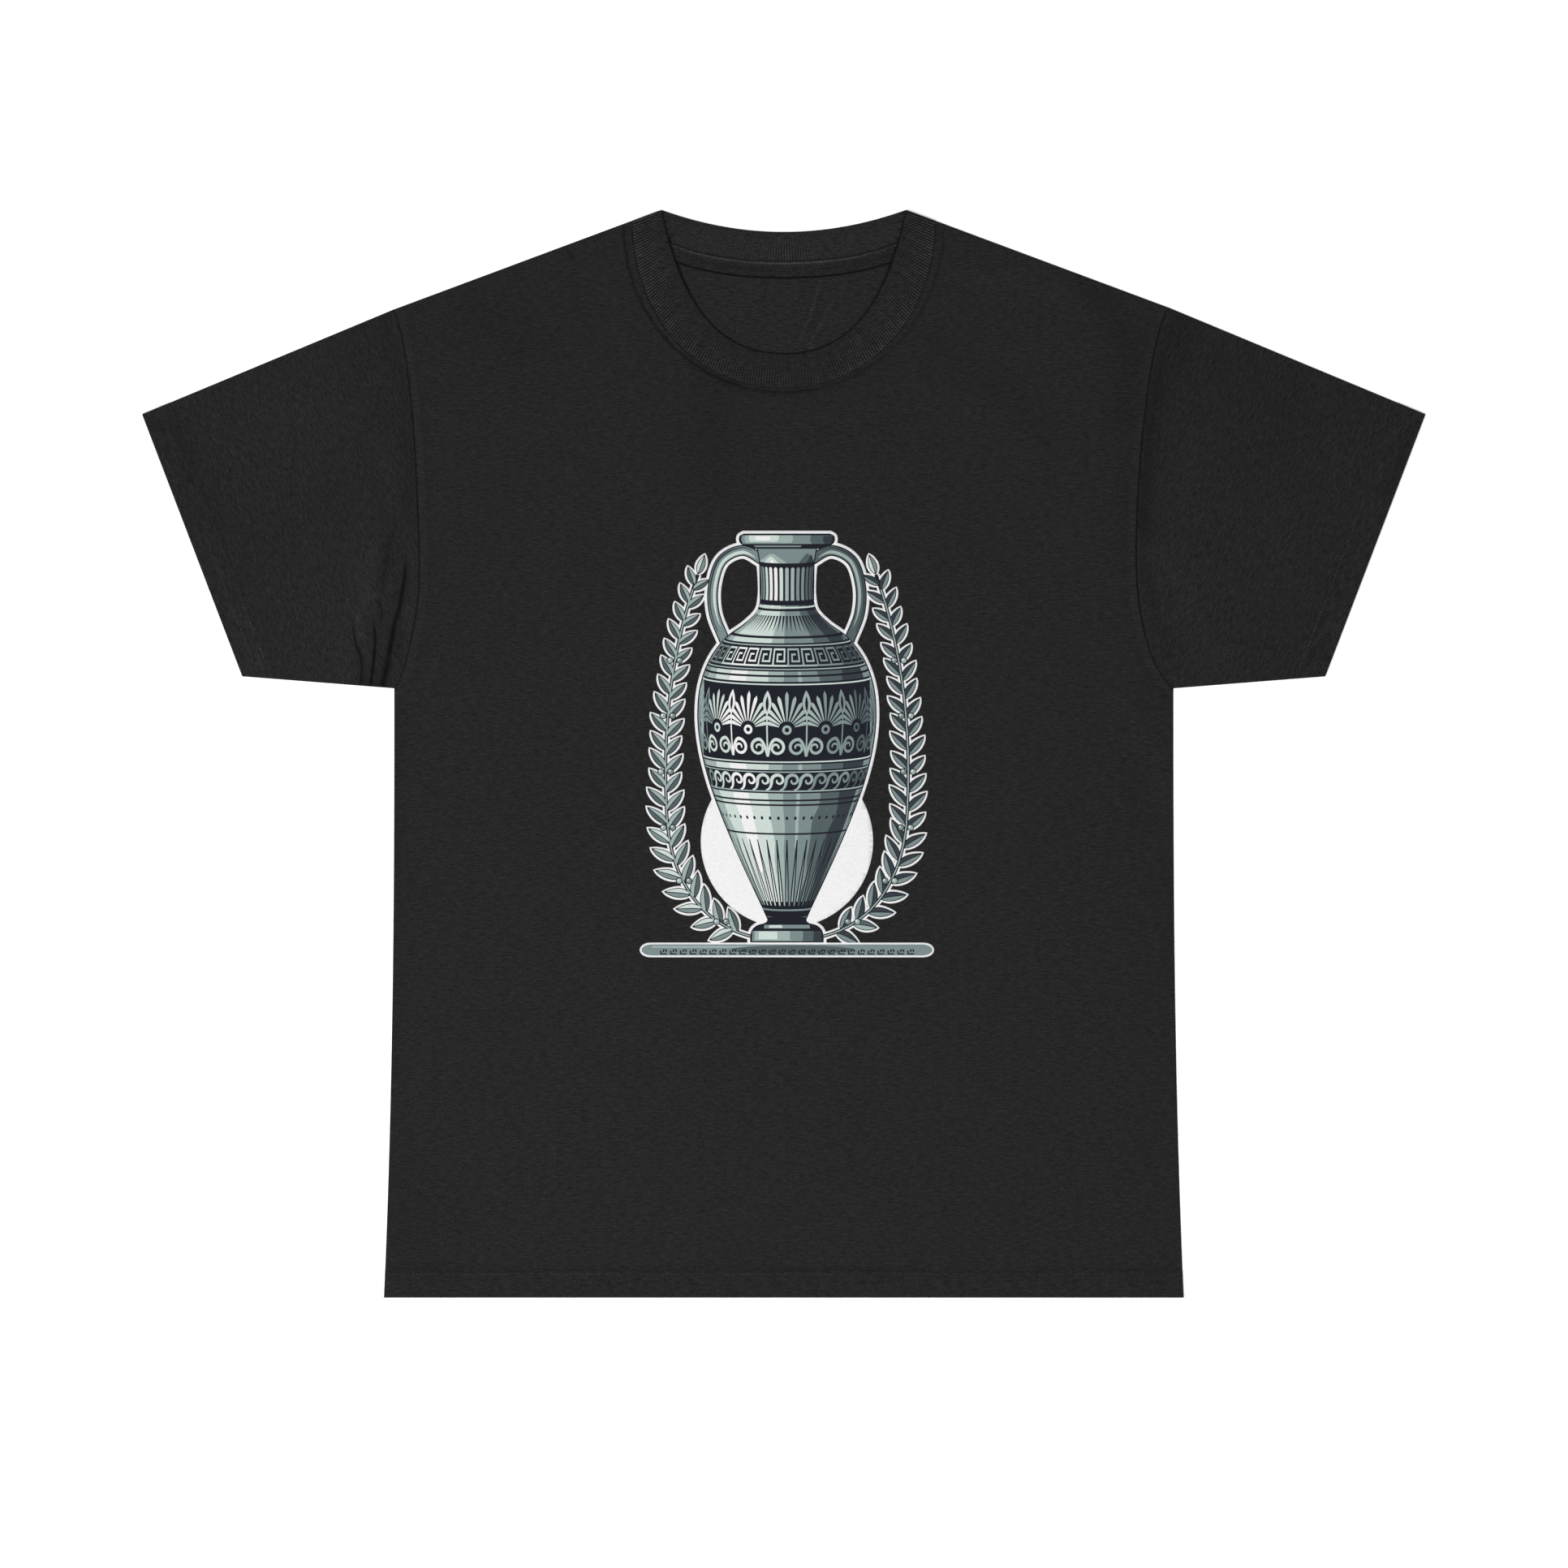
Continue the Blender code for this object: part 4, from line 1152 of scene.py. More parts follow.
def neck_rib():
    rows = rib_stations()
    rows = np.concatenate([rows, rows[:1]])
    mid_r = FOLD_INNER + RIB / 2
    centre = np.stack([(rows[:, 0] + rows[:, 2]) / 2 + rows[:, 6] * mid_r * np.sin(rows[:, 5]),
                       (rows[:, 1] + rows[:, 3]) / 2 + rows[:, 7] * mid_r * np.sin(rows[:, 5]),
                       rows[:, 4] + mid_r * np.cos(rows[:, 5])], 1)
    s = run_of(centre)
    ribs = int(round(s[-1] / RIB_PITCH))
    per = 6
    count = ribs * per
    at = np.arange(count) * s[-1] / count
    st = np.stack([np.interp(at, s, rows[:, k]) for k in range(8)], 1)
    # directions across the fold stay unit length in the turns
    size = np.maximum(np.hypot(st[:, 6], st[:, 7]), 1e-9)
    turn = np.sin(st[:, 5]) > 1e-4
    st[:, 6] = np.where(turn, st[:, 6] / size, 0)
    st[:, 7] = np.where(turn, st[:, 7] / size, 0)
    phase = np.arange(count) % per / per
    wave = np.abs(np.cos(math.pi * phase)) ** 0.8          # broad ridges, narrow valleys
    rng = np.random.default_rng(17)
    vary = 1 + 0.22 * np.repeat(rng.uniform(-1, 1, ribs), per)
    ridge = (wave - 0.62) * 0.42 * MM * vary
    section = np.array(SECTION)
    w, h, show = section[:, 0] / 24.0, section[:, 1] * MM, section[:, 2]
    # the band pulls in a little along its middle and lies unevenly
    slow = 0.05 * MM * np.sin(at * 61) + 0.04 * MM * np.sin(at * 143 + 1)
    verts = np.empty((count, len(w), 3))
    for j in range(len(w)):
        x = st[:, 2] + (st[:, 0] - st[:, 2]) * w[j]
        y = st[:, 3] + (st[:, 1] - st[:, 3]) * w[j]
        outward = 1.0 if h[j] > 0.7 * MM else -1.0
        hj = h[j] + ridge * show[j] * outward + (slow * ease(0.1, 0.5, w[j]) if h[j] > 1.0 * MM else 0)
        # the edge of the fold bends down onto what it lies on
        r = FOLD_INNER + hj
        free_out = ridge * 0.18 * show[j] if 15 <= j <= 19 else 0.0
        span = np.hypot(st[:, 0] - st[:, 2], st[:, 1] - st[:, 3])
        ux, uy = (st[:, 0] - st[:, 2]) / span, (st[:, 1] - st[:, 3]) / span
        verts[:, j, 0] = x + st[:, 6] * r * np.sin(st[:, 5]) + ux * free_out
        verts[:, j, 1] = y + st[:, 7] * r * np.sin(st[:, 5]) + uy * free_out
        verts[:, j, 2] = st[:, 4] + r * np.cos(st[:, 5])
    verts[:, :, 2] = np.maximum(verts[:, :, 2], 0.0)
    rows_n, cols = verts.shape[:2]
    r, c = np.meshgrid(np.arange(rows_n), np.arange(cols), indexing="ij")
    a = r * cols + c
    b = r * cols + (c + 1) % cols
    a2 = ((r + 1) % rows_n) * cols + c
    b2 = ((r + 1) % rows_n) * cols + (c + 1) % cols
    faces = np.stack([a, b, b2, a2], -1).reshape(-1, 4)
    flat = verts.reshape(-1, 3)
    # painted shade in the valleys and painted light on the ridges, most at the sides and by the seam; the back of the
    # ring and the front's sides painted a little lighter
    front_x = (st[:, 0] + st[:, 2]) / 2
    is_front = st[:, 5] < 0.01
    strong = np.where(is_front, 1.11 + 0.82 * ease(0.02, 0.06, np.abs(front_x)), 1.62)
    strong *= 1 + 0.30 * np.sin(at * 47) * np.sin(at * 19 + 1)
    tone = np.ones((count, len(w)))
    lively = 1 + 0.07 * np.repeat(rng.uniform(-1, 1, ribs), per)
    for j in range(len(w)):
        mm = section[j, 0]
        if show[j] > 0:
            contrast = 1.40 * strong * (0.60 + 0.32 * ease(11.0, 1.5, mm) - 0.20 * ease(17.0, 22.0, mm))
            tone[:, j] = (1 + contrast * (wave * lively - 0.64) * min(1.0, show[j])) * np.where(is_front, 0.99 + 0.06 * ease(0.02, 0.06, np.abs(front_x)), 1.20)
        tone[:, j] *= 1 - 0.05 * ease(12.0, 22.0, mm)
        if 1.0 < section[j, 1]:
            # painted light on the ridges beside the seam
            tone[:, j] *= 1 + np.where(is_front, 0.12 * (wave > 0.5), 0.0) * bump(mm - 0.9, 1.1)
        # painted shadow on the fold of the free edge, a little lighter low in front
        soft = np.where(is_front, ease(0.345, 0.300, st[:, 1]), 0.0)
        if 16 <= j <= 19:
            tone[:, j] *= 0.12 + 0.20 * soft
        elif j == 15:
            tone[:, j] *= 0.45 + 0.22 * soft
    back_part = st[:, 5] > 3.1
    if back_part.any():
        pts = verts[back_part]
        shade = under_edges(pts.reshape(-1, 3)[:, :2]).reshape(pts.shape[:2])
        # on the back of the ring the inner face looks up: painted shade below the front's free edge and along its seam
        # side, and no painted shadow on its fold
        fade = 1 - 0.30 * bump((section[:, 0] - 0.4), 0.8)
        tone[back_part] *= shade * fade[None]
        tone[back_part, 16:20] = 1.0
    # signed volume tells which way the faces run
    q = flat[faces]
    volume = np.einsum("ij,ij->i", q[:, 0], np.cross(q[:, 1], q[:, 2])).sum() \
        + np.einsum("ij,ij->i", q[:, 0], np.cross(q[:, 2], q[:, 3])).sum()
    if volume < 0:
        faces = faces[:, ::-1]
    return mesh_object("neck_rib_knit", flat, faces, [M_RIB], tone=tone.ravel())


rib = neck_rib()
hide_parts("neck_rib")


# ------------------------------------------------------------------ neck tape
def tape_top(w, s):
    """Height of the tape's face at w mm from its upper edge."""
    z = 1.50 + 0.42 * (1 - ease(1.5, 2.6, w)) + 0.05 * np.sin(s * 900) * bump(w - 2, 2)
    z -= 0.16 * bump(w - 6.2, 0.5)
    z += 0.06 * bump(w - 9.0, 1.5) + 0.03 * np.sin(s * 310 + w)
    return z


def neck_tape():
    half = TAPE_HALF_LENGTH - 0.0002
    x = np.linspace(-half, half, 420)
    seam = np.stack([x, back_seam_y(x)], 1)
    s = run_of(seam)
    out = normals_left(seam)
    across = np.array([0.0, 0.12, 0.35, 0.7, 1.1, 1.5, 1.8, 2.1, 2.5, 3.4, 4.6, 5.4, 5.7, 6.0, 6.3, 6.7, 7.1,
                       8.2, 9.4, 10.2, 10.6, 10.85, 11.0])
    offset = 0.02
    ring = []
    for w in across:
        z = tape_top(w, s)
        edge = round_edge(z, 1.22, np.full(len(s), min(w, 11.0 - w)), 0.45)
        ring.append((w, edge))
    for w in (10.8, 8.0, 5.0, 2.0, 0.2):
        ring.append((w, np.full(len(s), 1.0)))
    verts = np.stack([np.column_stack([seam - out * ((w + offset) * MM), z * MM]) for w, z in ring], 1)
    rows_n, cols = verts.shape[:2]
    r, c = np.meshgrid(np.arange(rows_n - 1), np.arange(cols), indexing="ij")
    a, b = r * cols + c, r * cols + (c + 1) % cols
    faces = np.stack([a, b, b + cols, a + cols], -1).reshape(-1, 4).tolist()
    faces.append(list(range(cols))[::-1])
    faces.append([(rows_n - 1) * cols + i for i in range(cols)])
    flat = verts.reshape(-1, 3)
    volume = 0.0
    for f in faces:
        for i in range(1, len(f) - 1):
            volume += float(np.dot(flat[f[0]], np.cross(flat[f[i]], flat[f[i + 1]])))
    if volume < 0:
        faces = [f[::-1] for f in faces]
    # painted highlight along the tape's upper ridge, brightest in the middle, and painted shade at its upper edge, its
    # stitch groove, its lower edge and under the collar's free edge
    tone = np.ones((len(x), cols))
    middle_light = 0.36 + 0.64 * ease(0.088, 0.038, np.abs(x + 0.004))
    for k, (w, _) in enumerate(ring):
        if k < len(across):
            tone[:, k] *= 1 + 1.15 * middle_light * bump(w - 1.25, 0.85) - 0.80 * bump(w, 0.48)
            tone[:, k] *= 1 - 0.55 * bump(w - 6.2, 0.60)
            tone[:, k] *= 1 - 0.60 * bump(w - 11.0, 0.35)
    tone *= under_edges(flat[:, :2]).reshape(len(x), cols)
    return mesh_object("neck_tape_cloth", flat, faces, [M_TAPE], tone=tone.ravel())


tape = neck_tape()
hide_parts("neck_tape")


# ------------------------------------------------------------------- stitches
def stitches(name, places, material, radius=0.19 * MM, tone_of=None):
    """One small bowed capsule for each stitch: centre, direction, up, length."""
    sides = 6
    profile = ((-0.5, 0.0, -1.0), (-0.44, 0.62, -0.8), (-0.25, 1.0, 0.0), (0.0, 1.05, 0.25), (0.25, 1.0, 0.0),
               (0.44, 0.62, -0.8), (0.5, 0.0, -1.0))
    verts, faces = [], []
    for centre, direction, up, length, fat in places:
        u = Vector(direction).normalized()
        n = Vector(up).normalized()
        v = n.cross(u).normalized()
        first = len(verts)
        rings = []
        for t, r, rise in profile:
            mid = Vector(centre) + u * (t * length) + n * (rise * radius * 0.9)
            if r == 0.0:
                rings.append([len(verts)])
                verts.append(tuple(mid))
            else:
                ring = []
                for k in range(sides):
                    a = 2 * math.pi * k / sides
                    ring.append(len(verts))
                    verts.append(tuple(mid + (v * math.cos(a) + n * math.sin(a)) * (r * radius * fat)))
                rings.append(ring)
        for p, q in zip(rings, rings[1:]):
            for k in range(sides):
                k2 = (k + 1) % sides
                if len(p) == 1:
                    faces.append((p[0], q[k2], q[k]))
                elif len(q) == 1:
                    faces.append((p[k], p[k2], q[0]))
                else:
                    faces.append((p[k], p[k2], q[k2], q[k]))
    tone = tone_of(np.array(verts)) if tone_of else None
    return mesh_object(name, verts, faces, [material], tone=tone)


rng = np.random.default_rng(23)


def row_of(line, height, up, pitch=STITCH_PITCH, share=0.84, slant=0.0, fat=(0.9, 1.25)):
    """Stitches along a line of points; height gives each one's z."""
    total = run_of(line)[-1]
    n = int(total / pitch)
    at = (np.arange(n) + 0.5) * total / n
    p = at_run(line, at)
    q = at_run(line, np.minimum(at + 0.0005, total))
    d = q - p
    z = height(p)
    out = []
    for i in range(n):
        dx, dy = d[i] / max(np.hypot(*d[i]), 1e-12)
        turn = slant + rng.uniform(-0.10, 0.10)
        c, s = math.cos(turn), math.sin(turn)
        out.append(((p[i, 0], p[i, 1] + rng.uniform(-0.06, 0.06) * MM, z[i]), (dx * c - dy * s, dx * s + dy * c, 0.0),
                    up, pitch * (share + rng.uniform(-0.06, 0.04)), rng.uniform(*fat)))
    return out


UP, DOWN = (0, 0, 1), (0, 0, -1)


def hem_line(depth):
    y = -HALF_LENGTH + depth
    half = side_x(y) - 0.0016
    return np.array([[-half, y], [half, y]])


front_rows, back_rows = [], []
for depth in HEM_ROWS:
    line = spaced(hem_line(depth), 0.01)
    front_rows += row_of(line, lambda p: front_top(p)[0] + 0.10 * MM, UP)
    back_rows += row_of(line, lambda p: np.full(len(p), 0.225 * MM), DOWN)


def hem_thread_painted_light(v):
    """Painted light and shade on the hem threads: the inner row painted lighter, more towards the left; the row nearer
    the edge, which mostly sinks in, painted darker and uneven.
    """
    depth = v[:, 1] + HALF_LENGTH
    return np.where(depth > 14 * MM, 1.0 + 0.25 * ease(0.05, -0.20, v[:, 0]), 0.62 + 0.22 * np.sin(v[:, 0] * 83))


front_stitches = stitches("front_hem_stitches", front_rows, M_THREAD, tone_of=hem_thread_painted_light)
back_stitches = stitches("back_hem_stitches", back_rows, M_THREAD, radius=0.15 * MM)


def cuff_rows(info):
    tip, low, sign = info["tip"], info["low"], info["sign"]
    d = (low - tip) / np.linalg.norm(low - tip)
    inward = np.array([-d[1], d[0]])
    if inward[0] * sign > 0:
        inward = -inward
    rows = []
    tip_line = (np.array(SLEEVE_TIP), armhole(ARMHOLE_LEFT if sign < 0 else ARMHOLE_RIGHT)[0])
    low_line = (np.array(CUFF_LOW), armhole(ARMHOLE_LEFT if sign < 0 else ARMHOLE_RIGHT)[-1])
    for depth in CUFF_ROWS:
        ends = []
        for (a, b), corner in ((tip_line, tip), (low_line, low)):
            away = (b - a) * np.array([sign, 1.0])
            away = away / np.linalg.norm(away)
            ends.append(corner + away * depth / abs(float(away @ inward)))
        a, b = np.array(ends)
        e = (b - a) / np.linalg.norm(b - a)
        line = spaced(np.stack([a + e * 0.0016, b - e * 0.0016]), 0.01)
        rows.append((depth, line))
    return rows


def cuff_thread_painted_light(info):
    """Painted light on the cuff threads: both rows painted lighter towards the underarm, and the inner one most."""
    tip, low, right_side = info["tip"], info["low"], info["sign"] > 0
    length = np.linalg.norm(low - tip)
    d = (low - tip) / length

    def tone(v):
        g = v[:, :2] - tip
        depth = np.abs(g[:, 0] * d[1] - g[:, 1] * d[0])
        down = ease(0.15, 0.50, (g @ d) / length)
        outer = 0.45 + 0.15 * down if right_side else 0.62 + 0.62 * down
        return np.where(depth > 15 * MM, 0.70 + (0.70 if right_side else 0.75) * down, outer)

    return tone


for info, name in ((left_info, "left"), (right_info, "right")):
    places = []
    for depth, line in cuff_rows(info):
        def height(p, depth=depth, info=info):
            flat = (p * np.array([info["sign"], 1.0]))[None]
            z, _, _, _ = info["upper"](flat, np.full((1, len(p)), 0.08), np.full((1, len(p)), depth))
            return z[0] + 0.10 * MM
        places += row_of(line, height, UP)
        places += [(c, d, DOWN, l, f) for c, d, _, l, f in row_of(line, lambda p: np.full(len(p), 0.235 * MM), DOWN)]
    stitches(f"{name}_cuff_stitches", places, M_THREAD, radius=0.17 * MM,
                                    tone_of=cuff_thread_painted_light(info))

x = np.linspace(-0.0945, 0.0945, 200)
seam = np.stack([x, back_seam_y(x)], 1)
places = row_of(shifted(seam, -1.2 * MM), lambda p: np.full(len(p), 1.97 * MM), UP, pitch=0.0026, share=0.95,
                slant=0.45, fat=(1.0, 1.3))
places += row_of(shifted(seam, -6.3 * MM), lambda p: np.full(len(p), 1.46 * MM), UP, pitch=0.0026, share=0.86)


def tape_thread_painted_light(v):
    """Painted highlight on the upper row, brightest in its middle; the lower row painted darker."""
    upper_row = v[:, 1] > back_seam_y(v[:, 0]) - 4 * MM
    lit = 0.48 + 0.52 * ease(0.086, 0.040, np.abs(v[:, 0] + 0.004))
    return np.where(upper_row, lit, 0.42 + 0.10 * np.sin(v[:, 0] * 160))


tape_stitches = stitches("neck_tape_stitches", places, M_TAPE_THREAD, tone_of=tape_thread_painted_light)

# ---------------------------------------------------------------- chest print
# A two-handled jar with bands of common ornament, between two leafy branches,
# over a pale disc. All in millimetres about the middle of the print.
PRINT_CENTRE = (0.0022, 0.0059)
LAYERS = []                   # (ink, closed outline), painted in this order


def linear(value):
    v = value / 255.0
    return v / 12.92 if v <= 0.04045 else ((v + 0.055) / 1.055) ** 2.4


INK_LIGHT = 1.50              # how much brighter than its own colour the light shows a surface
INKS = {
    "white": (241, 241, 241), "pale": (206, 219, 213), "mist": (160, 177, 174), "sage": (124, 140, 140),
    "slate": (84, 97, 99), "deep": (53, 61, 67), "navy": (29, 31, 40),
}


def ink_material(name, rgb):
    """Matte screen ink that lets the knit show through a little."""
    mat = bpy.data.materials.new("ink_" + name)
    mat.use_nodes = True
    nt = mat.node_tree
    shader = nt.nodes["Principled BSDF"]
    shader.inputs["Roughness"].default_value = 0.82
    shader.inputs["Specular IOR Level"].default_value = 0.08
    where = node(nt, "ShaderNodeTexCoord")

    def noise(scale, detail):
        m = node(nt, "ShaderNodeMapping")
        m.inputs["Scale"].default_value = scale
        link(nt, where.outputs["Object"], m.inputs["Vector"])
        t = node(nt, "ShaderNodeTexNoise")
        t.inputs["Scale"].default_value = 1.0
        t.inputs["Detail"].default_value = detail
        link(nt, m.outputs["Vector"], t.inputs["Vector"])
        return t.outputs["Fac"]

    knit_rows = noise((420, 1300, 200), 2.0)
    grain = noise((1300, 1300, 900), 1.0)
    add = node(nt, "ShaderNodeMath", operation="ADD")
    link(nt, knit_rows, add.inputs[0])
    link(nt, grain, add.inputs[1])
    r = node(nt, "ShaderNodeMapRange")
    r.inputs["From Min"].default_value = 0.62
    r.inputs["From Max"].default_value = 1.38
    r.inputs["To Min"].default_value = 0.90
    r.inputs["To Max"].default_value = 1.07
    link(nt, add.outputs[0], r.inputs["Value"])
    scale = node(nt, "ShaderNodeVectorMath", operation="SCALE")
    scale.inputs[0].default_value = [linear(v) / INK_LIGHT for v in rgb]
    link(nt, r.outputs["Result"], scale.inputs["Scale"])
    link(nt, scale.outputs["Vector"], shader.inputs["Base Color"])
    b = node(nt, "ShaderNodeBump")
    b.inputs["Strength"].default_value = 0.25
    b.inputs["Distance"].default_value = 0.05 * MM
    link(nt, add.outputs[0], b.inputs["Height"])
    link(nt, b.outputs["Normal"], shader.inputs["Normal"])
    return mat


def paint(ink, outline):
    LAYERS.append((ink, np.asarray(outline, float)))


def smooth_line(points, per=8):
    """Centripetal curve through the points."""
    p = np.array(points, float)
    p = np.concatenate([[2 * p[0] - p[1]], p, [2 * p[-1] - p[-2]]])
    out = []
    for i in range(1, len(p) - 2):
        p0, p1, p2, p3 = p[i - 1:i + 3]
        t0 = 0.0
        t1 = t0 + math.sqrt(np.linalg.norm(p1 - p0))
        t2 = t1 + math.sqrt(np.linalg.norm(p2 - p1))
        t3 = t2 + math.sqrt(np.linalg.norm(p3 - p2))
        for t in np.linspace(t1, t2, per, endpoint=False):
            a1 = (t1 - t) / (t1 - t0) * p0 + (t - t0) / (t1 - t0) * p1
            a2 = (t2 - t) / (t2 - t1) * p1 + (t - t1) / (t2 - t1) * p2
            a3 = (t3 - t) / (t3 - t2) * p2 + (t - t2) / (t3 - t2) * p3
            b1 = (t2 - t) / (t2 - t0) * a1 + (t - t0) / (t2 - t0) * a2
            b2 = (t3 - t) / (t3 - t1) * a2 + (t - t1) / (t3 - t1) * a3
            out.append((t2 - t) / (t2 - t1) * b1 + (t - t1) / (t2 - t1) * b2)
    out.append(p[-2])
    return np.array(out)


def turned(profile, grow):
    """Outline of a turned shape from its right-hand profile, top to bottom."""
    line = shifted(profile, grow)
    line[0, 1] = profile[0, 1] + grow
    line[-1, 1] = profile[-1, 1] - grow
    line = np.concatenate([[[0, line[0, 1]]], line, [[0, line[-1, 1]]]])
    return np.concatenate([line, flipped(line)[::-1][1:-1]])


def stroke(line, half, grow=0.0, tip=0.0):
    """A line with width, its ends left square; tip is not used."""
    n = len(line)
    wide = np.full(n, half) if np.isscalar(half) else np.asarray(half)
    return np.concatenate([shifted(line, wide + grow), shifted(line, -(wide + grow))[::-1]])


def circle(x, y, r, n=48):
    a = np.linspace(0, 2 * math.pi, n, endpoint=False)
    return np.stack([x + r * np.cos(a), y + r * np.sin(a)], 1)


BODY_LINE = smooth_line([(21.5, 140), (20.0, 131), (18.8, 118), (18.8, 106), (21.0, 96), (29.5, 87), (43, 77), (54.5, 62),
                         (61.5, 43), (63.5, 22), (61.5, 0), (55.5, -25), (46.5, -50), (36, -75), (26, -97), (18, -114),
                         (13.5, -124)], 7)
LIP_LINE = smooth_line([(30.5, 150.0), (33.6, 148.2), (33.8, 144.4), (31.2, 141.6), (24.0, 139.2)], 4)
FOOT_LINE = smooth_line([(13.5, -121.5), (14.5, -125), (21.5, -127.5), (25.0, -131), (26.0, -136), (26.0, -139.5)], 4)


def radius(y):
    return np.interp(-np.asarray(y, float), -BODY_LINE[:, 1], BODY_LINE[:, 0])


def wrap(turn, y):
    """A point on the jar: turn is 0 in the middle and +-1 at its sides."""
    r = radius(y)
    a = np.clip(turn, -1, 1) * math.pi / 2
    return np.stack([r * np.sin(a) * 0.985, y - 0.085 * r * np.cos(a) + 0.0 * a], -1)


def side_turn(u):
    return np.arcsin(np.clip(u, -1, 1)) / (math.pi / 2)


def shade_zone(ink, u0, u1, y0, y1, wave=0.0, seed=0, n=46):
    """A tone down the jar between two shares of its width."""
    y = np.linspace(y0, y1, n)
    w = wave * (np.sin(y * 0.11 + seed) * 0.6 + np.sin(y * 0.23 + 2 * seed) * 0.4)
    taper = np.minimum(1, np.minimum(y0 - y, y - y1) / 6.0 + 0.15)
    middle = (u0 + u1) / 2
    a = middle + (u0 + w - middle) * taper
    b = middle + (u1 + w * 0.7 - middle) * taper
    left_ = wrap(side_turn(a), y)
    right_ = wrap(side_turn(b), y)
    paint(ink, np.concatenate([left_, right_[::-1]]))


def band(ink, y0, y1, inset=0.012, n=40):
    t = np.linspace(-1 + inset, 1 - inset, n)
    paint(ink, np.concatenate([wrap(t, np.full(n, y0)), wrap(t[::-1], np.full(n, y1))]))


def light_at(turn):
    u = math.sin(max(-1.0, min(1.0, turn)) * math.pi / 2)
    for limit, ink in ((-0.88, "sage"), (-0.70, "pale"), (-0.34, "white"), (-0.02, "pale"), (0.40, "mist"), (0.74, "sage")):
        if u < limit:
            return ink
    return "slate"


def on_jar(ink, points, closed=True, step=2.2):
    """An outline given as (turn, y), mapped round the jar."""
    p = np.asarray(points, float)
    if p[:, 0].min() < -0.985 or p[:, 0].max() > 0.985:
        return
    loop = np.concatenate([p, p[:1]]) if closed else p
    out = []
    for a, b in zip(loop, loop[1:]):
        size = math.hypot((b[0] - a[0]) * 90, b[1] - a[1])
        m = max(1, int(size / step))
        for k in range(m):
            out.append(a + (b - a) * k / m)
    out = np.array(out)
    paint(ink, wrap(out[:, 0], out[:, 1]))


def bars(ink, path, half, per_mm):
    """Straight bars of a key pattern along a path in mm, half thick."""
    for (ax, ay), (bx, by) in zip(path, path[1:]):
        x0, x1 = min(ax, bx) - half, max(ax, bx) + half
        y0, y1 = min(ay, by) - half, max(ay, by) + half
        on_jar(ink, [(x0 * per_mm, y0), (x1 * per_mm, y0), (x1 * per_mm, y1), (x0 * per_mm, y1)], step=3.0)


def leaf(base, angle, length, wide, inks, grow_only=None, bend=0.12, n=11):
    """A pointed leaf in two tones with a dark rib; grow_only paints its outline."""
    t = np.linspace(0, 1, n)
    half = wide * np.sin(math.pi * t ** 0.85) ** 0.85
    spine = np.stack([length * t, bend * length * np.sin(math.pi * t * 0.5) * t], 1)
    c, s_ = math.cos(angle), math.sin(angle)
    turn = np.array([[c, s_], [-s_, c]])

    def place(p):
        return p @ turn + np.array(base)

    if grow_only is not None:
        ink, grow = grow_only
        tt = np.linspace(-0.06 * grow, 1 + 0.05 * grow, n)
        hh = np.interp(tt, t, half) + grow * np.clip(np.sin(math.pi * (tt - tt[0]) / (tt[-1] - tt[0])) * 3, 0, 1)
        ss = np.stack([length * tt, bend * length * np.sin(math.pi * np.clip(tt, 0, 1) * 0.5) * tt], 1)
        up, down = ss + np.stack([0 * tt, hh], 1), ss - np.stack([0 * tt, hh], 1)
        paint(ink, place(np.concatenate([up, down[::-1][1:-1]])))
        return
    inner = np.clip(half - 0.55, 0, None)
    keep = inner > 0.12
    tt = spine[keep]
    for side, ink in ((1, inks[0]), (-1, inks[1])):
        a = tt + np.stack([0 * tt[:, 0], side * (0.30 + 0 * tt[:, 0])], 1)
        b = tt + np.stack([0 * tt[:, 0], side * np.maximum(inner[keep], 0.34)], 1)
        paint(ink, place(np.concatenate([a, b[::-1]])))


def branch_line(sign):
    a = cubic(((15.0, -137.0), (52.0, -133.0), (82.0, -104.0), (85.0, -50.0)), 40)
    b = cubic(((85.0, -50.0), (88.0, 4.0), (84.0, 62.0), (63.0, 121.0)), 50)
    line = np.concatenate([a, b[1:]])
    return line * np.array([sign, 1.0])


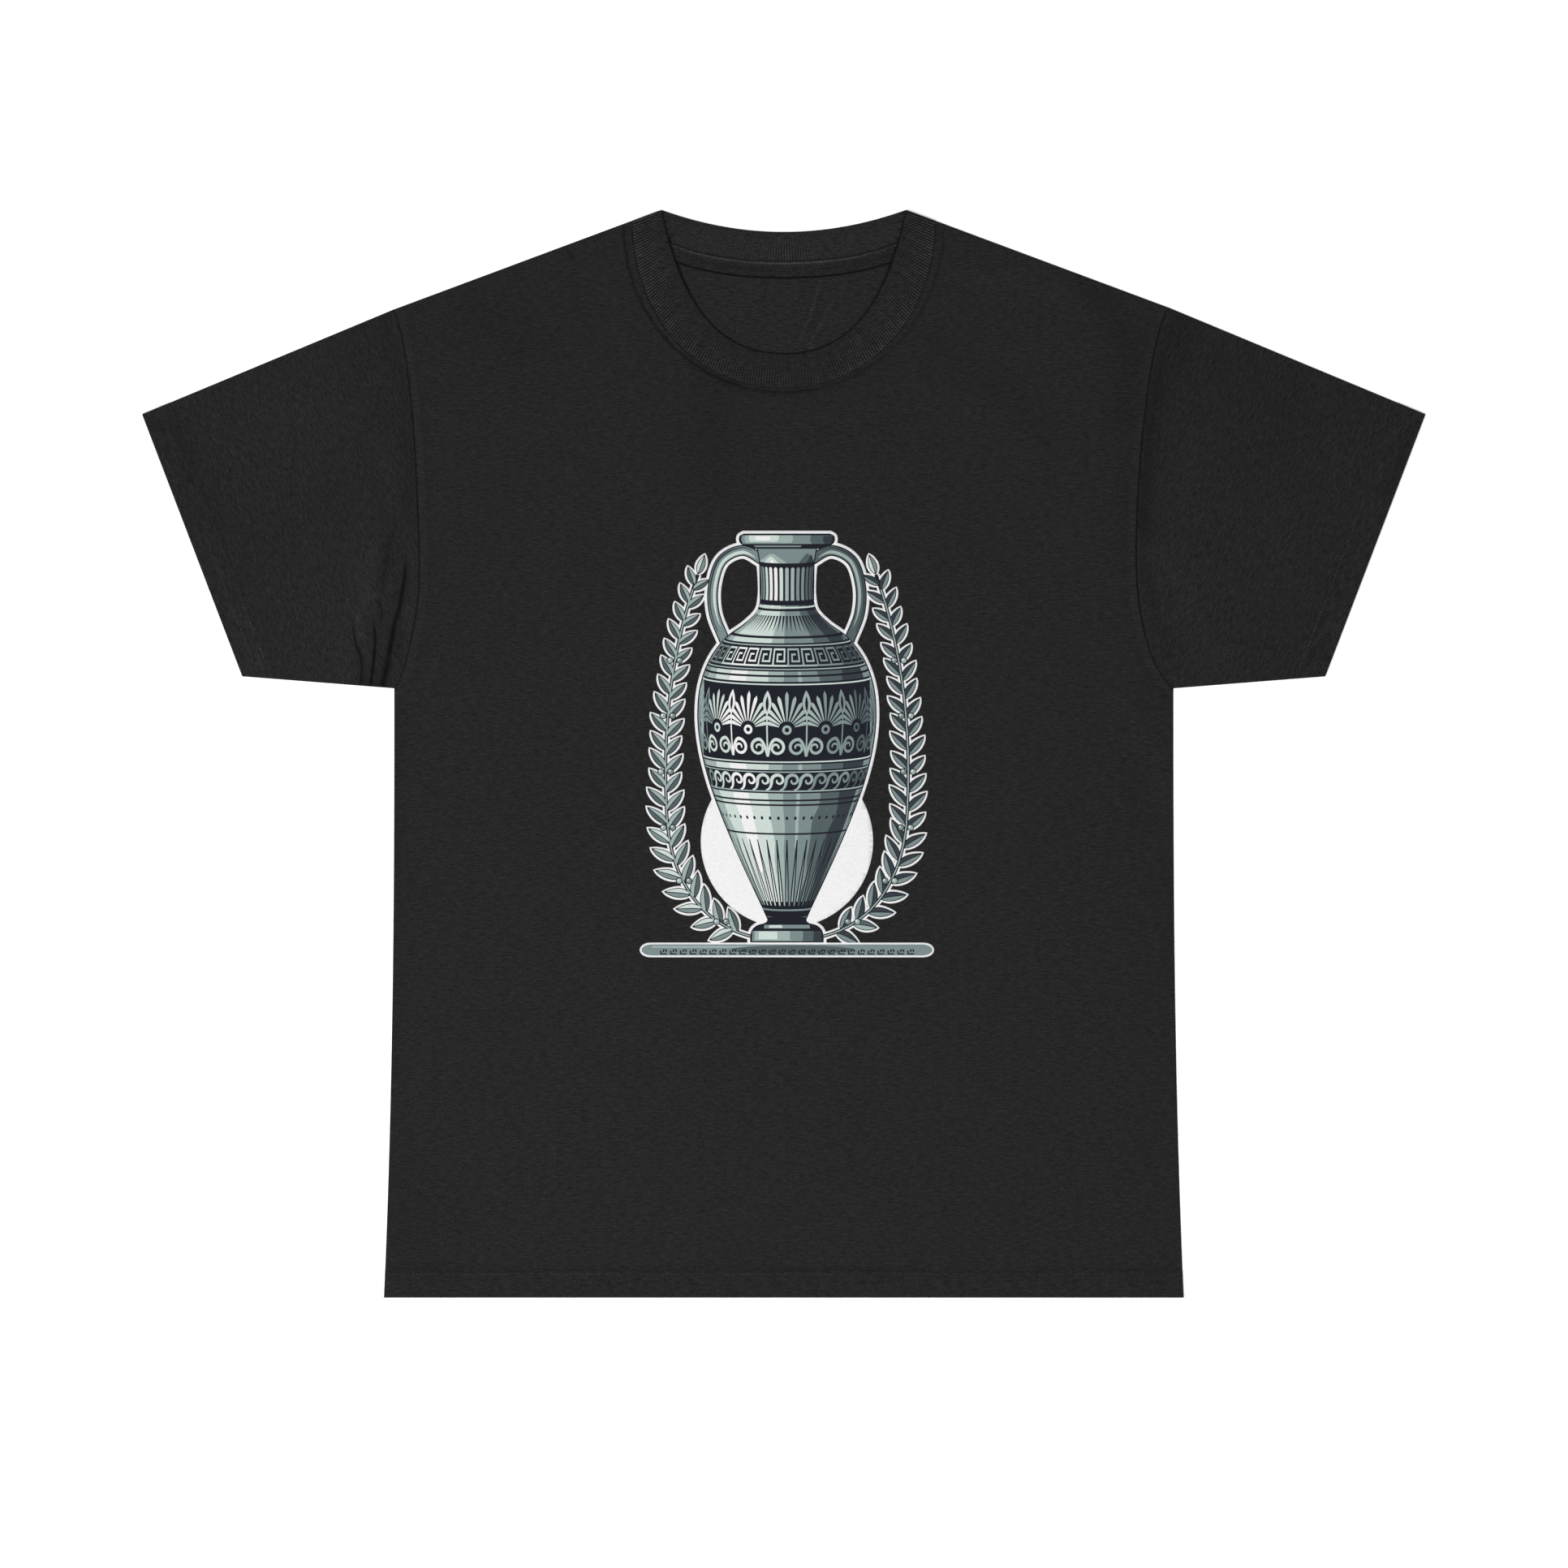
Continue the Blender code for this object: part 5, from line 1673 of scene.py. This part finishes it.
def draw_print():
    handles = [smooth_line([(16.0 * k, 130.5), (31.0 * k, 138.0), (45.5 * k, 131.5), (52.0 * k, 114.0), (51.5 * k, 94.0),
                            (44.0 * k, 74.0)], 8) for k in (-1, 1)]
    handle_half = 3.9
    leaves = []
    rng_ = np.random.default_rng(4)
    for sign in (-1, 1):
        line = branch_line(sign)
        total = run_of(line)[-1]
        k, at = 0, 20.0
        while at < total - 2.0:
            p = at_run(line, [at])[0]
            q = at_run(line, [min(at + 1.0, total)])[0]
            along = math.atan2(q[1] - p[1], q[0] - p[0])
            share = at / total
            length = 21.0 * (1 - 0.30 * share) * (0.80 + 0.20 * min(1, at / 60)) + rng_.uniform(-0.8, 0.8)
            for side in (1, -1):
                angle = along + side * (0.62 - 0.10 * share) + rng_.uniform(-0.06, 0.06)
                start = p + (q - p) * (3.6 if side > 0 else 0)
                lit = -math.sin(angle) * 0.6 + (-sign) * 0.5 + rng_.uniform(-0.25, 0.25)
                inks = ("pale", "sage") if lit > 0.25 else (("mist", "slate") if lit > -0.35 else ("sage", "deep"))
                if side * sign < 0:
                    inks = inks[::-1]
                leaves.append((start, angle, length, 3.7 * (1 - 0.20 * share), inks, side * 0.14))
            at += 13.2
            k += 1
        p = line[-1]
        d = line[-1] - line[-3]
        leaves.append((p, math.atan2(d[1], d[0]), 15.0, 3.0, ("pale", "sage"), 0.0))
    a = np.linspace(math.pi / 2, 3 * math.pi / 2, 9)
    left_end = np.stack([-97 + 5.2 * np.cos(a) * 1.4, -144.8 + 5.2 * np.sin(a)], 1)
    base = np.concatenate([left_end, flipped(left_end)[::-1]])

    # white: the disc, and a clear line round everything
    paint("white", circle(0, -68, 61, 96))
    for h in handles:
        paint("white", stroke(h, handle_half, 2.0))
    for shape in (BODY_LINE, LIP_LINE, FOOT_LINE):
        paint("white", turned(shape, 2.0))
    for sign in (-1, 1):
        paint("white", stroke(branch_line(sign), 0.9, 1.7))
    for start, angle, length, wide, inks, bend in leaves:
        leaf(start, angle, length, wide, inks, grow_only=("white", 1.55), bend=bend)
    # navy: the drawing's own dark line
    for sign in (-1, 1):
        line = branch_line(sign)
        paint("navy", stroke(line, 1.25))
    for start, angle, length, wide, inks, bend in leaves:
        leaf(start, angle, length, wide, inks, grow_only=("navy", 0.05), bend=bend)
        leaf(start, angle, length, wide, inks, bend=bend)
    for sign in (-1, 1):
        line = branch_line(sign)
        paint("mist", stroke(line[4:-3], 0.42))
    # berries in pairs
    for sign in (-1, 1):
        line = branch_line(sign)
        total = run_of(line)[-1]
        for at in np.arange(33.5, total - 30, 39.6):
            p = at_run(line, [at])[0]
            for side in (-1, 1):
                x_, y_ = p[0] + side * 3.4, p[1] + 1.5
                paint("navy", circle(x_, y_, 2.5, 18))
                paint("mist" if side * sign > 0 else "sage", circle(x_, y_, 1.85, 16))
                paint("white", circle(x_ - 0.6, y_ + 0.6, 0.62, 10))

    # base: a low plinth with a key pattern
    paint("white", base)
    inner = np.stack([base[:, 0] * 0.988, -144.8 + (base[:, 1] + 144.8) * 0.76], 1)
    paint("sage", inner)
    paint("mist", [(-95.0, -142.0), (-95.6, -143.2), (20.0, -143.2), (14.0, -142.0)])
    shade = np.linspace(0, 2 * math.pi, 48, endpoint=False)
    paint("slate", np.stack([4 + 44 * np.cos(shade), -144.6 + 3.1 * np.sin(shade)], 1))
    for i in range(-13, 13):
        x0 = i * 7.0 + 1.2
        paint("navy", [(x0, -148.0), (x0 + 4.8, -148.0), (x0 + 4.8, -147.1), (x0 + 1.0, -147.1), (x0 + 1.0, -145.2),
                       (x0, -145.2)])
        paint("navy", [(x0 + 1.9, -146.4), (x0 + 2.8, -146.4), (x0 + 2.8, -145.3), (x0 + 4.0, -145.3), (x0 + 4.0, -146.4),
                       (x0 + 4.9, -146.4), (x0 + 4.9, -144.5), (x0 + 1.9, -144.5)])

    # handles
    for k, h in zip((-1, 1), handles):
        paint("navy", stroke(h, handle_half))
        paint("slate" if k > 0 else "sage", stroke(h[1:], handle_half - 0.9))
        outer = shifted(h[3:-4], 1.25 if k < 0 else -1.1)
        paint("pale" if k < 0 else "mist", stroke(outer, np.interp(np.linspace(0, 1, len(outer)), [0, .15, .8, 1],
                                                               [0.2, 1.15, 0.95, 0.15])))
        inner_ = shifted(h[5:-3], -2.0 if k < 0 else 2.0)
        paint("deep", stroke(inner_, np.interp(np.linspace(0, 1, len(inner_)), [0, .3, 1], [0.2, 0.75, 0.3])))

    # the jar itself
    paint("navy", turned(BODY_LINE, 0.0))
    paint("sage", turned(BODY_LINE, -0.85))
    top, low = 137.0, -121.0
    shade_zone("mist", -0.975, -0.05, top, low, 0.030, 1)
    shade_zone("pale", -0.88, -0.24, top - 2, low + 4, 0.035, 2)
    shade_zone("white", -0.70, -0.50, 70, -88, 0.030, 3)
    shade_zone("white", -0.66, -0.40, 133, 99, 0.02, 4)
    shade_zone("slate", 0.42, 0.965, top, low, 0.045, 5)
    shade_zone("deep", 0.70, 0.965, top - 1, low + 2, 0.035, 6)
    shade_zone("sage", 0.925, 0.965, 78, -100, 0.0, 7)
    shade_zone("mist", 0.13, 0.18, 60, -70, 0.012, 8)

    # neck: tall tongues
    band("navy", 130.5, 100.5)
    per = 2.0 / (math.pi * 19.2)
    for i in range(-7, 8):
        c = i * 4.15 * per
        w_ = 1.30 * per
        up = [(c + w_ * math.cos(a), 126.0 + 1.6 * math.sin(a)) for a in np.linspace(0, math.pi, 7)]
        on_jar(light_at(c), [(c - w_, 104.0), (c + w_, 104.0)] + up, step=3.0)
    band("pale", 99.6, 98.6)
    band("navy", 98.2, 96.6)
    # shoulder: short rays
    for i in range(-15, 16):
        c = i * 0.064
        on_jar("navy", [(c - 0.020, 93.5), (c + 0.020, 93.5), (c, 82.5)], step=2.5)
    band("navy", 80.5, 79.0)
    # key band
    band("navy", 76.0, 57.0)
    band("mist", 74.9, 74.1)
    band("mist", 58.9, 58.1)
    per = 2.0 / (math.pi * 57.0)
    unit = 11.6
    for i in range(-9, 9):
        x0 = i * unit + 1.0
        mid_turn = (x0 + 4) * per
        ink = light_at(mid_turn)
        bars(ink, [(x0, 61.0), (x0, 72.0), (x0 + 8.6, 72.0), (x0 + 8.6, 64.0), (x0 + 3.1, 64.0), (x0 + 3.1, 68.6),
                   (x0 + 5.6, 68.6)], 0.62, per)
        bars(ink, [(x0, 61.0), (x0 + unit, 61.0)], 0.62, per)
    band("navy", 54.6, 53.2)
    # main band: fans of petals over joined scrolls
    band("navy", 50.0, -8.5)
    band("pale", 48.6, 47.6)
    band("pale", -6.3, -7.3)
    per = 2.0 / (math.pi * 62.5)
    for i in range(-3, 4):
        cx = i * 28.5
        hub = 10.0
        for k in range(-5, 6):
            angle = k * 0.245
            long_ = 27.5 - abs(k) * 2.6
            n_ = 9
            tt = np.linspace(0, 1, n_)
            half = (0.34 + 1.30 * tt) * np.sqrt(np.clip(1 - (np.clip(tt - 0.72, 0, 1) / 0.28) ** 2, 0, 1))
            r0 = 6.0
            ray = r0 + (long_ - r0) * tt
            curl = 0.010 * k * ray * tt
            ex = np.concatenate([ray * np.sin(angle) + half * np.cos(angle) + curl,
                                 (ray * np.sin(angle) - half * np.cos(angle) + curl)[::-1]])
            ey = np.concatenate([ray * np.cos(angle) - half * np.sin(angle),
                                 (ray * np.cos(angle) + half * np.sin(angle))[::-1]])
            on_jar(light_at((cx + ray[-2] * math.sin(angle)) * per),
                   np.stack([(cx + ex) * per, hub + 6.5 + ey * 0.98], 1), step=4.0)
        hub_ink = light_at(cx * per)
        c_ = circle(0, 0, 3.4, 20)
        on_jar(hub_ink, np.stack([(cx + c_[:, 0]) * per, hub + 6.2 + c_[:, 1]], 1), step=4.0)
        c_ = circle(0, 0, 1.6, 12)
        on_jar("navy", np.stack([(cx + c_[:, 0]) * per, hub + 6.2 + c_[:, 1]], 1), step=4.0)
        for side in (-1, 1):
            a = np.linspace(0, 2.6 * math.pi, 40)
            rr = 6.4 - 5.0 * (a / a[-1]) ** 0.85
            sx = side * (7.6 + rr * np.cos(math.pi / 2 + a) * 1.0)
            sy = 5.0 - 2.0 + rr * np.sin(math.pi / 2 + a) * 0.95
            spiral = np.stack([sx, sy], 1)
            tail = cubic(((side * 14.25, -3.2), (side * 12.6, 5.4), (side * 10.0, 9.6), tuple(spiral[0])), 8)
            line = np.concatenate([tail[:-1], spiral])
            width_ = np.interp(np.linspace(0, 1, len(line)), [0, 0.15, 0.8, 1], [0.9, 1.15, 0.8, 0.55])
            shape = stroke(line, width_)
            on_jar(light_at((cx + side * 8) * per), np.stack([(cx + shape[:, 0]) * per, shape[:, 1] + 0.4], 1), step=4.0)
        # a bud between two fans
        tt = np.linspace(0, 1, 12)
        half = 3.1 * np.sin(math.pi * tt) ** 0.9
        bud = np.concatenate([np.stack([half, 26 + 18 * tt], 1), np.stack([-half, 26 + 18 * tt], 1)[::-1][1:-1]])
        bx = cx + 14.25
        on_jar(light_at(bx * per), np.stack([(bx + bud[:, 0]) * per, bud[:, 1]], 1), step=4.0)
        on_jar("navy", np.stack([(bx + bud[:, 0] * 0.36) * per, 29 + (bud[:, 1] - 26) * 0.62], 1), step=4.0)
        stem = stroke(np.array([[bx, -1.0], [bx, 9.0], [bx, 18.0], [bx, 27.0]]), 0.55)
        on_jar(light_at(bx * per), np.stack([stem[:, 0] * per, stem[:, 1]], 1), step=6.0)
    # running waves
    band("navy", -12.5, -29.5)
    per = 2.0 / (math.pi * 57.0)
    for i in range(-9, 10):
        x0 = i * 10.6
        a = np.linspace(0, 2.1 * math.pi, 26)
        rr = 5.2 - 4.1 * (a / a[-1]) ** 0.9
        sx = 4.6 + rr * np.cos(math.pi - a)
        sy = -20.2 + rr * np.sin(math.pi - a)
        tail = cubic(((-5.2, -27.0), (-2.4, -27.0), (-0.6, -24.0), (sx[0], sy[0])), 8)
        line = np.concatenate([tail[:-1], np.stack([sx, sy], 1)])
        width_ = np.interp(np.linspace(0, 1, len(line)), [0, 0.25, 1], [0.5, 1.25, 0.5])
        shape = stroke(line, width_)
        on_jar(light_at((x0 + 4) * per), np.stack([(x0 + shape[:, 0]) * per, shape[:, 1]], 1), step=4.0)
    band("mist", -27.4, -28.4)
    band("mist", -13.6, -14.4)
    # fine lines on bare clay, then long rays
    for y_ in (-34.0, -37.4, -58.5):
        band("navy", y_, y_ - 1.3)
    for i in range(-8, 9):
        c = i * 0.115
        w_ = 0.044
        on_jar("navy", [(c - w_, -113.0), (c + w_, -113.0), (c + 0.006, -63.5), (c - 0.006, -63.5)], step=5.0)
        if abs(c) < 0.9:
            on_jar(light_at(c), [(c - w_ * 0.34, -109.0), (c + w_ * 0.34, -109.0), (c, -76.0)], step=5.0)
    band("navy", -112.0, -120.5)
    band("sage", -114.6, -115.9)
    for i in range(-11, 12):
        c = i * 0.082
        d_ = circle(0, 0, 1.0, 10)
        dots = np.stack([c + d_[:, 0] * 0.0135, -47.6 + d_[:, 1] * 1.35], 1)
        on_jar("navy", dots, step=5.0)

    # lip and foot
    for shape in (LIP_LINE, FOOT_LINE):
        paint("navy", turned(shape, 0.0))
    lip_y = np.array([148.9, 142.4])
    for ink, x0, x1, y0, y1 in (("sage", -31.8, 31.8, 148.7, 142.6), ("mist", -29.5, 4.0, 148.7, 143.4),
                                ("pale", -26.5, -6.0, 148.7, 144.2), ("white", -22.0, -12.0, 148.0, 145.2),
                                ("slate", 17.0, 31.8, 148.7, 142.6), ("deep", 26.0, 31.8, 148.2, 142.6),
                                ("sage", -22.8, 10.0, 141.5, 140.4)):
        paint(ink, [(x0, y0), (x0 - 0.6, (y0 + y1) / 2), (x0 + 0.6, y1), (x1 - 0.8, y1), (x1 + 0.4, (y0 + y1) / 2), (x1, y0)])
    for ink, x0, x1, y0, y1 in (("sage", -24.4, 24.4, -131.4, -138.6), ("mist", -22.6, 2.0, -131.4, -138.0),
                                ("pale", -19.8, -7.0, -131.8, -137.2), ("slate", 11.5, 24.4, -131.4, -138.6),
                                ("deep", 19.0, 24.4, -131.4, -138.6), ("sage", -16.0, 16.0, -127.0, -129.6),
                                ("pale", -12.5, -3.5, -127.2, -129.2)):
        paint(ink, [(x0, y0), (x0 - 0.3, y1), (x1 + 0.3, y1), (x1, y0)])


def chest_print():
    draw_print()
    points, edges, start = [], [], 0
    for k, (ink, loop) in enumerate(LAYERS):
        closed = np.concatenate([loop, loop[:1]])
        parts = [closed[i] + (closed[i + 1] - closed[i]) * np.arange(m)[:, None] / m
                 for i, m in enumerate(np.maximum(1, np.ceil(np.linalg.norm(np.diff(closed, axis=0), axis=1) / 2.5).astype(int)))]
        loop = np.concatenate(parts)
        LAYERS[k] = (ink, loop)
        n = len(loop)
        points.append(loop)
        edges += [(start + i, start + (i + 1) % n) for i in range(n)]
        start += n
    reach = 108.0
    gx_, gy_ = np.meshgrid(np.arange(-reach, reach, 4.0), np.arange(-154, 154, 4.0))
    grid = np.stack([gx_.ravel() + 0.37, gy_.ravel() + 0.21], 1)
    points = np.concatenate([*points, grid])
    verts, _, faces, _, _, _ = delaunay_2d_cdt([Vector(p) for p in points], edges, [], 0, 2e-3)
    pts = np.array([(v.x, v.y) for v in verts])
    tri = np.array([f for f in faces if len(f) == 3], int)
    a, b, c = pts[tri[:, 0]], pts[tri[:, 1]], pts[tri[:, 2]]
    area = ((b[:, 0] - a[:, 0]) * (c[:, 1] - a[:, 1]) - (b[:, 1] - a[:, 1]) * (c[:, 0] - a[:, 0])) / 2
    tri[area < 0] = tri[area < 0][:, ::-1]
    tri, area = tri[np.abs(area) > 1e-7], area[np.abs(area) > 1e-7]
    centre = pts[tri].mean(1)
    names = list(INKS)
    label = np.full(len(tri), -1)
    order = np.argsort(centre[:, 0])
    xs = centre[order, 0]
    for ink, loop in LAYERS:
        lo, hi = loop.min(0), loop.max(0)
        i, j = np.searchsorted(xs, [lo[0], hi[0]])
        pick = order[i:j]
        pick = pick[(centre[pick, 1] > lo[1]) & (centre[pick, 1] < hi[1])]
        if len(pick):
            label[pick[inside(centre[pick], loop)]] = names.index(ink)
    tri, label = tri[label >= 0], label[label >= 0]
    used, index = np.unique(tri, return_inverse=True)
    tri = index.reshape(-1, 3)
    pts = pts[used]
    world = pts * MM + np.array(PRINT_CENTRE)
    z = front_top(world)[0]
    n = len(pts)
    up = np.column_stack([world, z + 0.075 * MM])
    down = np.column_stack([world, z - 0.045 * MM])
    # walls where an inked triangle has no inked neighbour
    half = np.concatenate([tri[:, [0, 1]], tri[:, [1, 2]], tri[:, [2, 0]]])
    owner = np.tile(np.arange(len(tri)), 3)
    key = half[:, 0].astype(np.int64) * (n + 1) + half[:, 1]
    back_key = half[:, 1].astype(np.int64) * (n + 1) + half[:, 0]
    open_ = ~np.isin(key, back_key)
    rim, rim_owner = half[open_], owner[open_]
    walls = np.stack([rim[:, 1], rim[:, 0], rim[:, 0] + n, rim[:, 1] + n], 1)
    faces = [tuple(f) for f in tri] + [tuple(f) for f in (tri[:, ::-1] + n)] + [tuple(f) for f in walls]
    labels = np.concatenate([label, label, label[rim_owner]])
    obj = mesh_object("chest_print", np.concatenate([up, down]), faces, [ink_material(k, INKS[k]) for k in names], labels)
    obj.data.polygons.foreach_set("use_smooth", np.ones(len(obj.data.polygons), bool))
    return obj


ink_layer = chest_print()

# --------------------------------------------------------- floor, light, camera
floor_mesh = bpy.data.meshes.new("studio_floor")
floor_mesh.from_pydata([(-6, -6, 0), (6, -6, 0), (6, 6, 0), (-6, 6, 0)], [], [(0, 1, 2, 3)])
floor = bpy.data.objects.new("studio_floor", floor_mesh)
bpy.context.scene.collection.objects.link(floor)
floor.location.z = -0.00005
paper = bpy.data.materials.new("pale_paper")
paper.use_nodes = True
paper.node_tree.nodes["Principled BSDF"].inputs["Base Color"].default_value = (0.93, 0.93, 0.93, 1)
paper.node_tree.nodes["Principled BSDF"].inputs["Roughness"].default_value = 0.9
paper.node_tree.nodes["Principled BSDF"].inputs["Specular IOR Level"].default_value = 0.2
floor_mesh.materials.append(paper)

world = bpy.data.worlds.new("studio")
bpy.context.scene.world = world
world.use_nodes = True
world.node_tree.nodes["Background"].inputs["Color"].default_value = (1, 1, 1, 1)
world.node_tree.nodes["Background"].inputs["Strength"].default_value = 0.55


def area_light(name, where, aim, size, power):
    data = bpy.data.lights.new(name, "AREA")
    data.shape = "SQUARE"
    data.size = size
    data.energy = power
    lamp = bpy.data.objects.new(name, data)
    bpy.context.scene.collection.objects.link(lamp)
    lamp.location = where
    lamp.rotation_mode = "QUATERNION"
    lamp.rotation_quaternion = (Vector(aim) - Vector(where)).to_track_quat("-Z", "Y")
    lamp.visible_camera = False
    return lamp


area_light("soft_top", (0.79, 0.93, 3.54), (0, 0, 0), 1.2, 41)
area_light("soft_left", (-0.60, -0.70, 1.86), (0, 0, 0), 0.7, 33)

camera = bpy.data.cameras.new("camera")
camera.sensor_width = 36.0
camera.sensor_fit = "HORIZONTAL"
height = 3.0
width = 1932 * 0.000575
camera.lens = 36.0 * height / width
camera.clip_start, camera.clip_end = 0.05, 50.0
eye = bpy.data.objects.new("camera", camera)
bpy.context.scene.collection.objects.link(eye)
eye.location = ((966 - 965.75) * 0.000575, (928.75 - 966) * 0.000575, height)
eye.rotation_euler = (0, 0, 0)
bpy.context.scene.camera = eye
bpy.context.scene.view_settings.view_transform = "Standard"
bpy.context.scene.view_settings.look = "None"
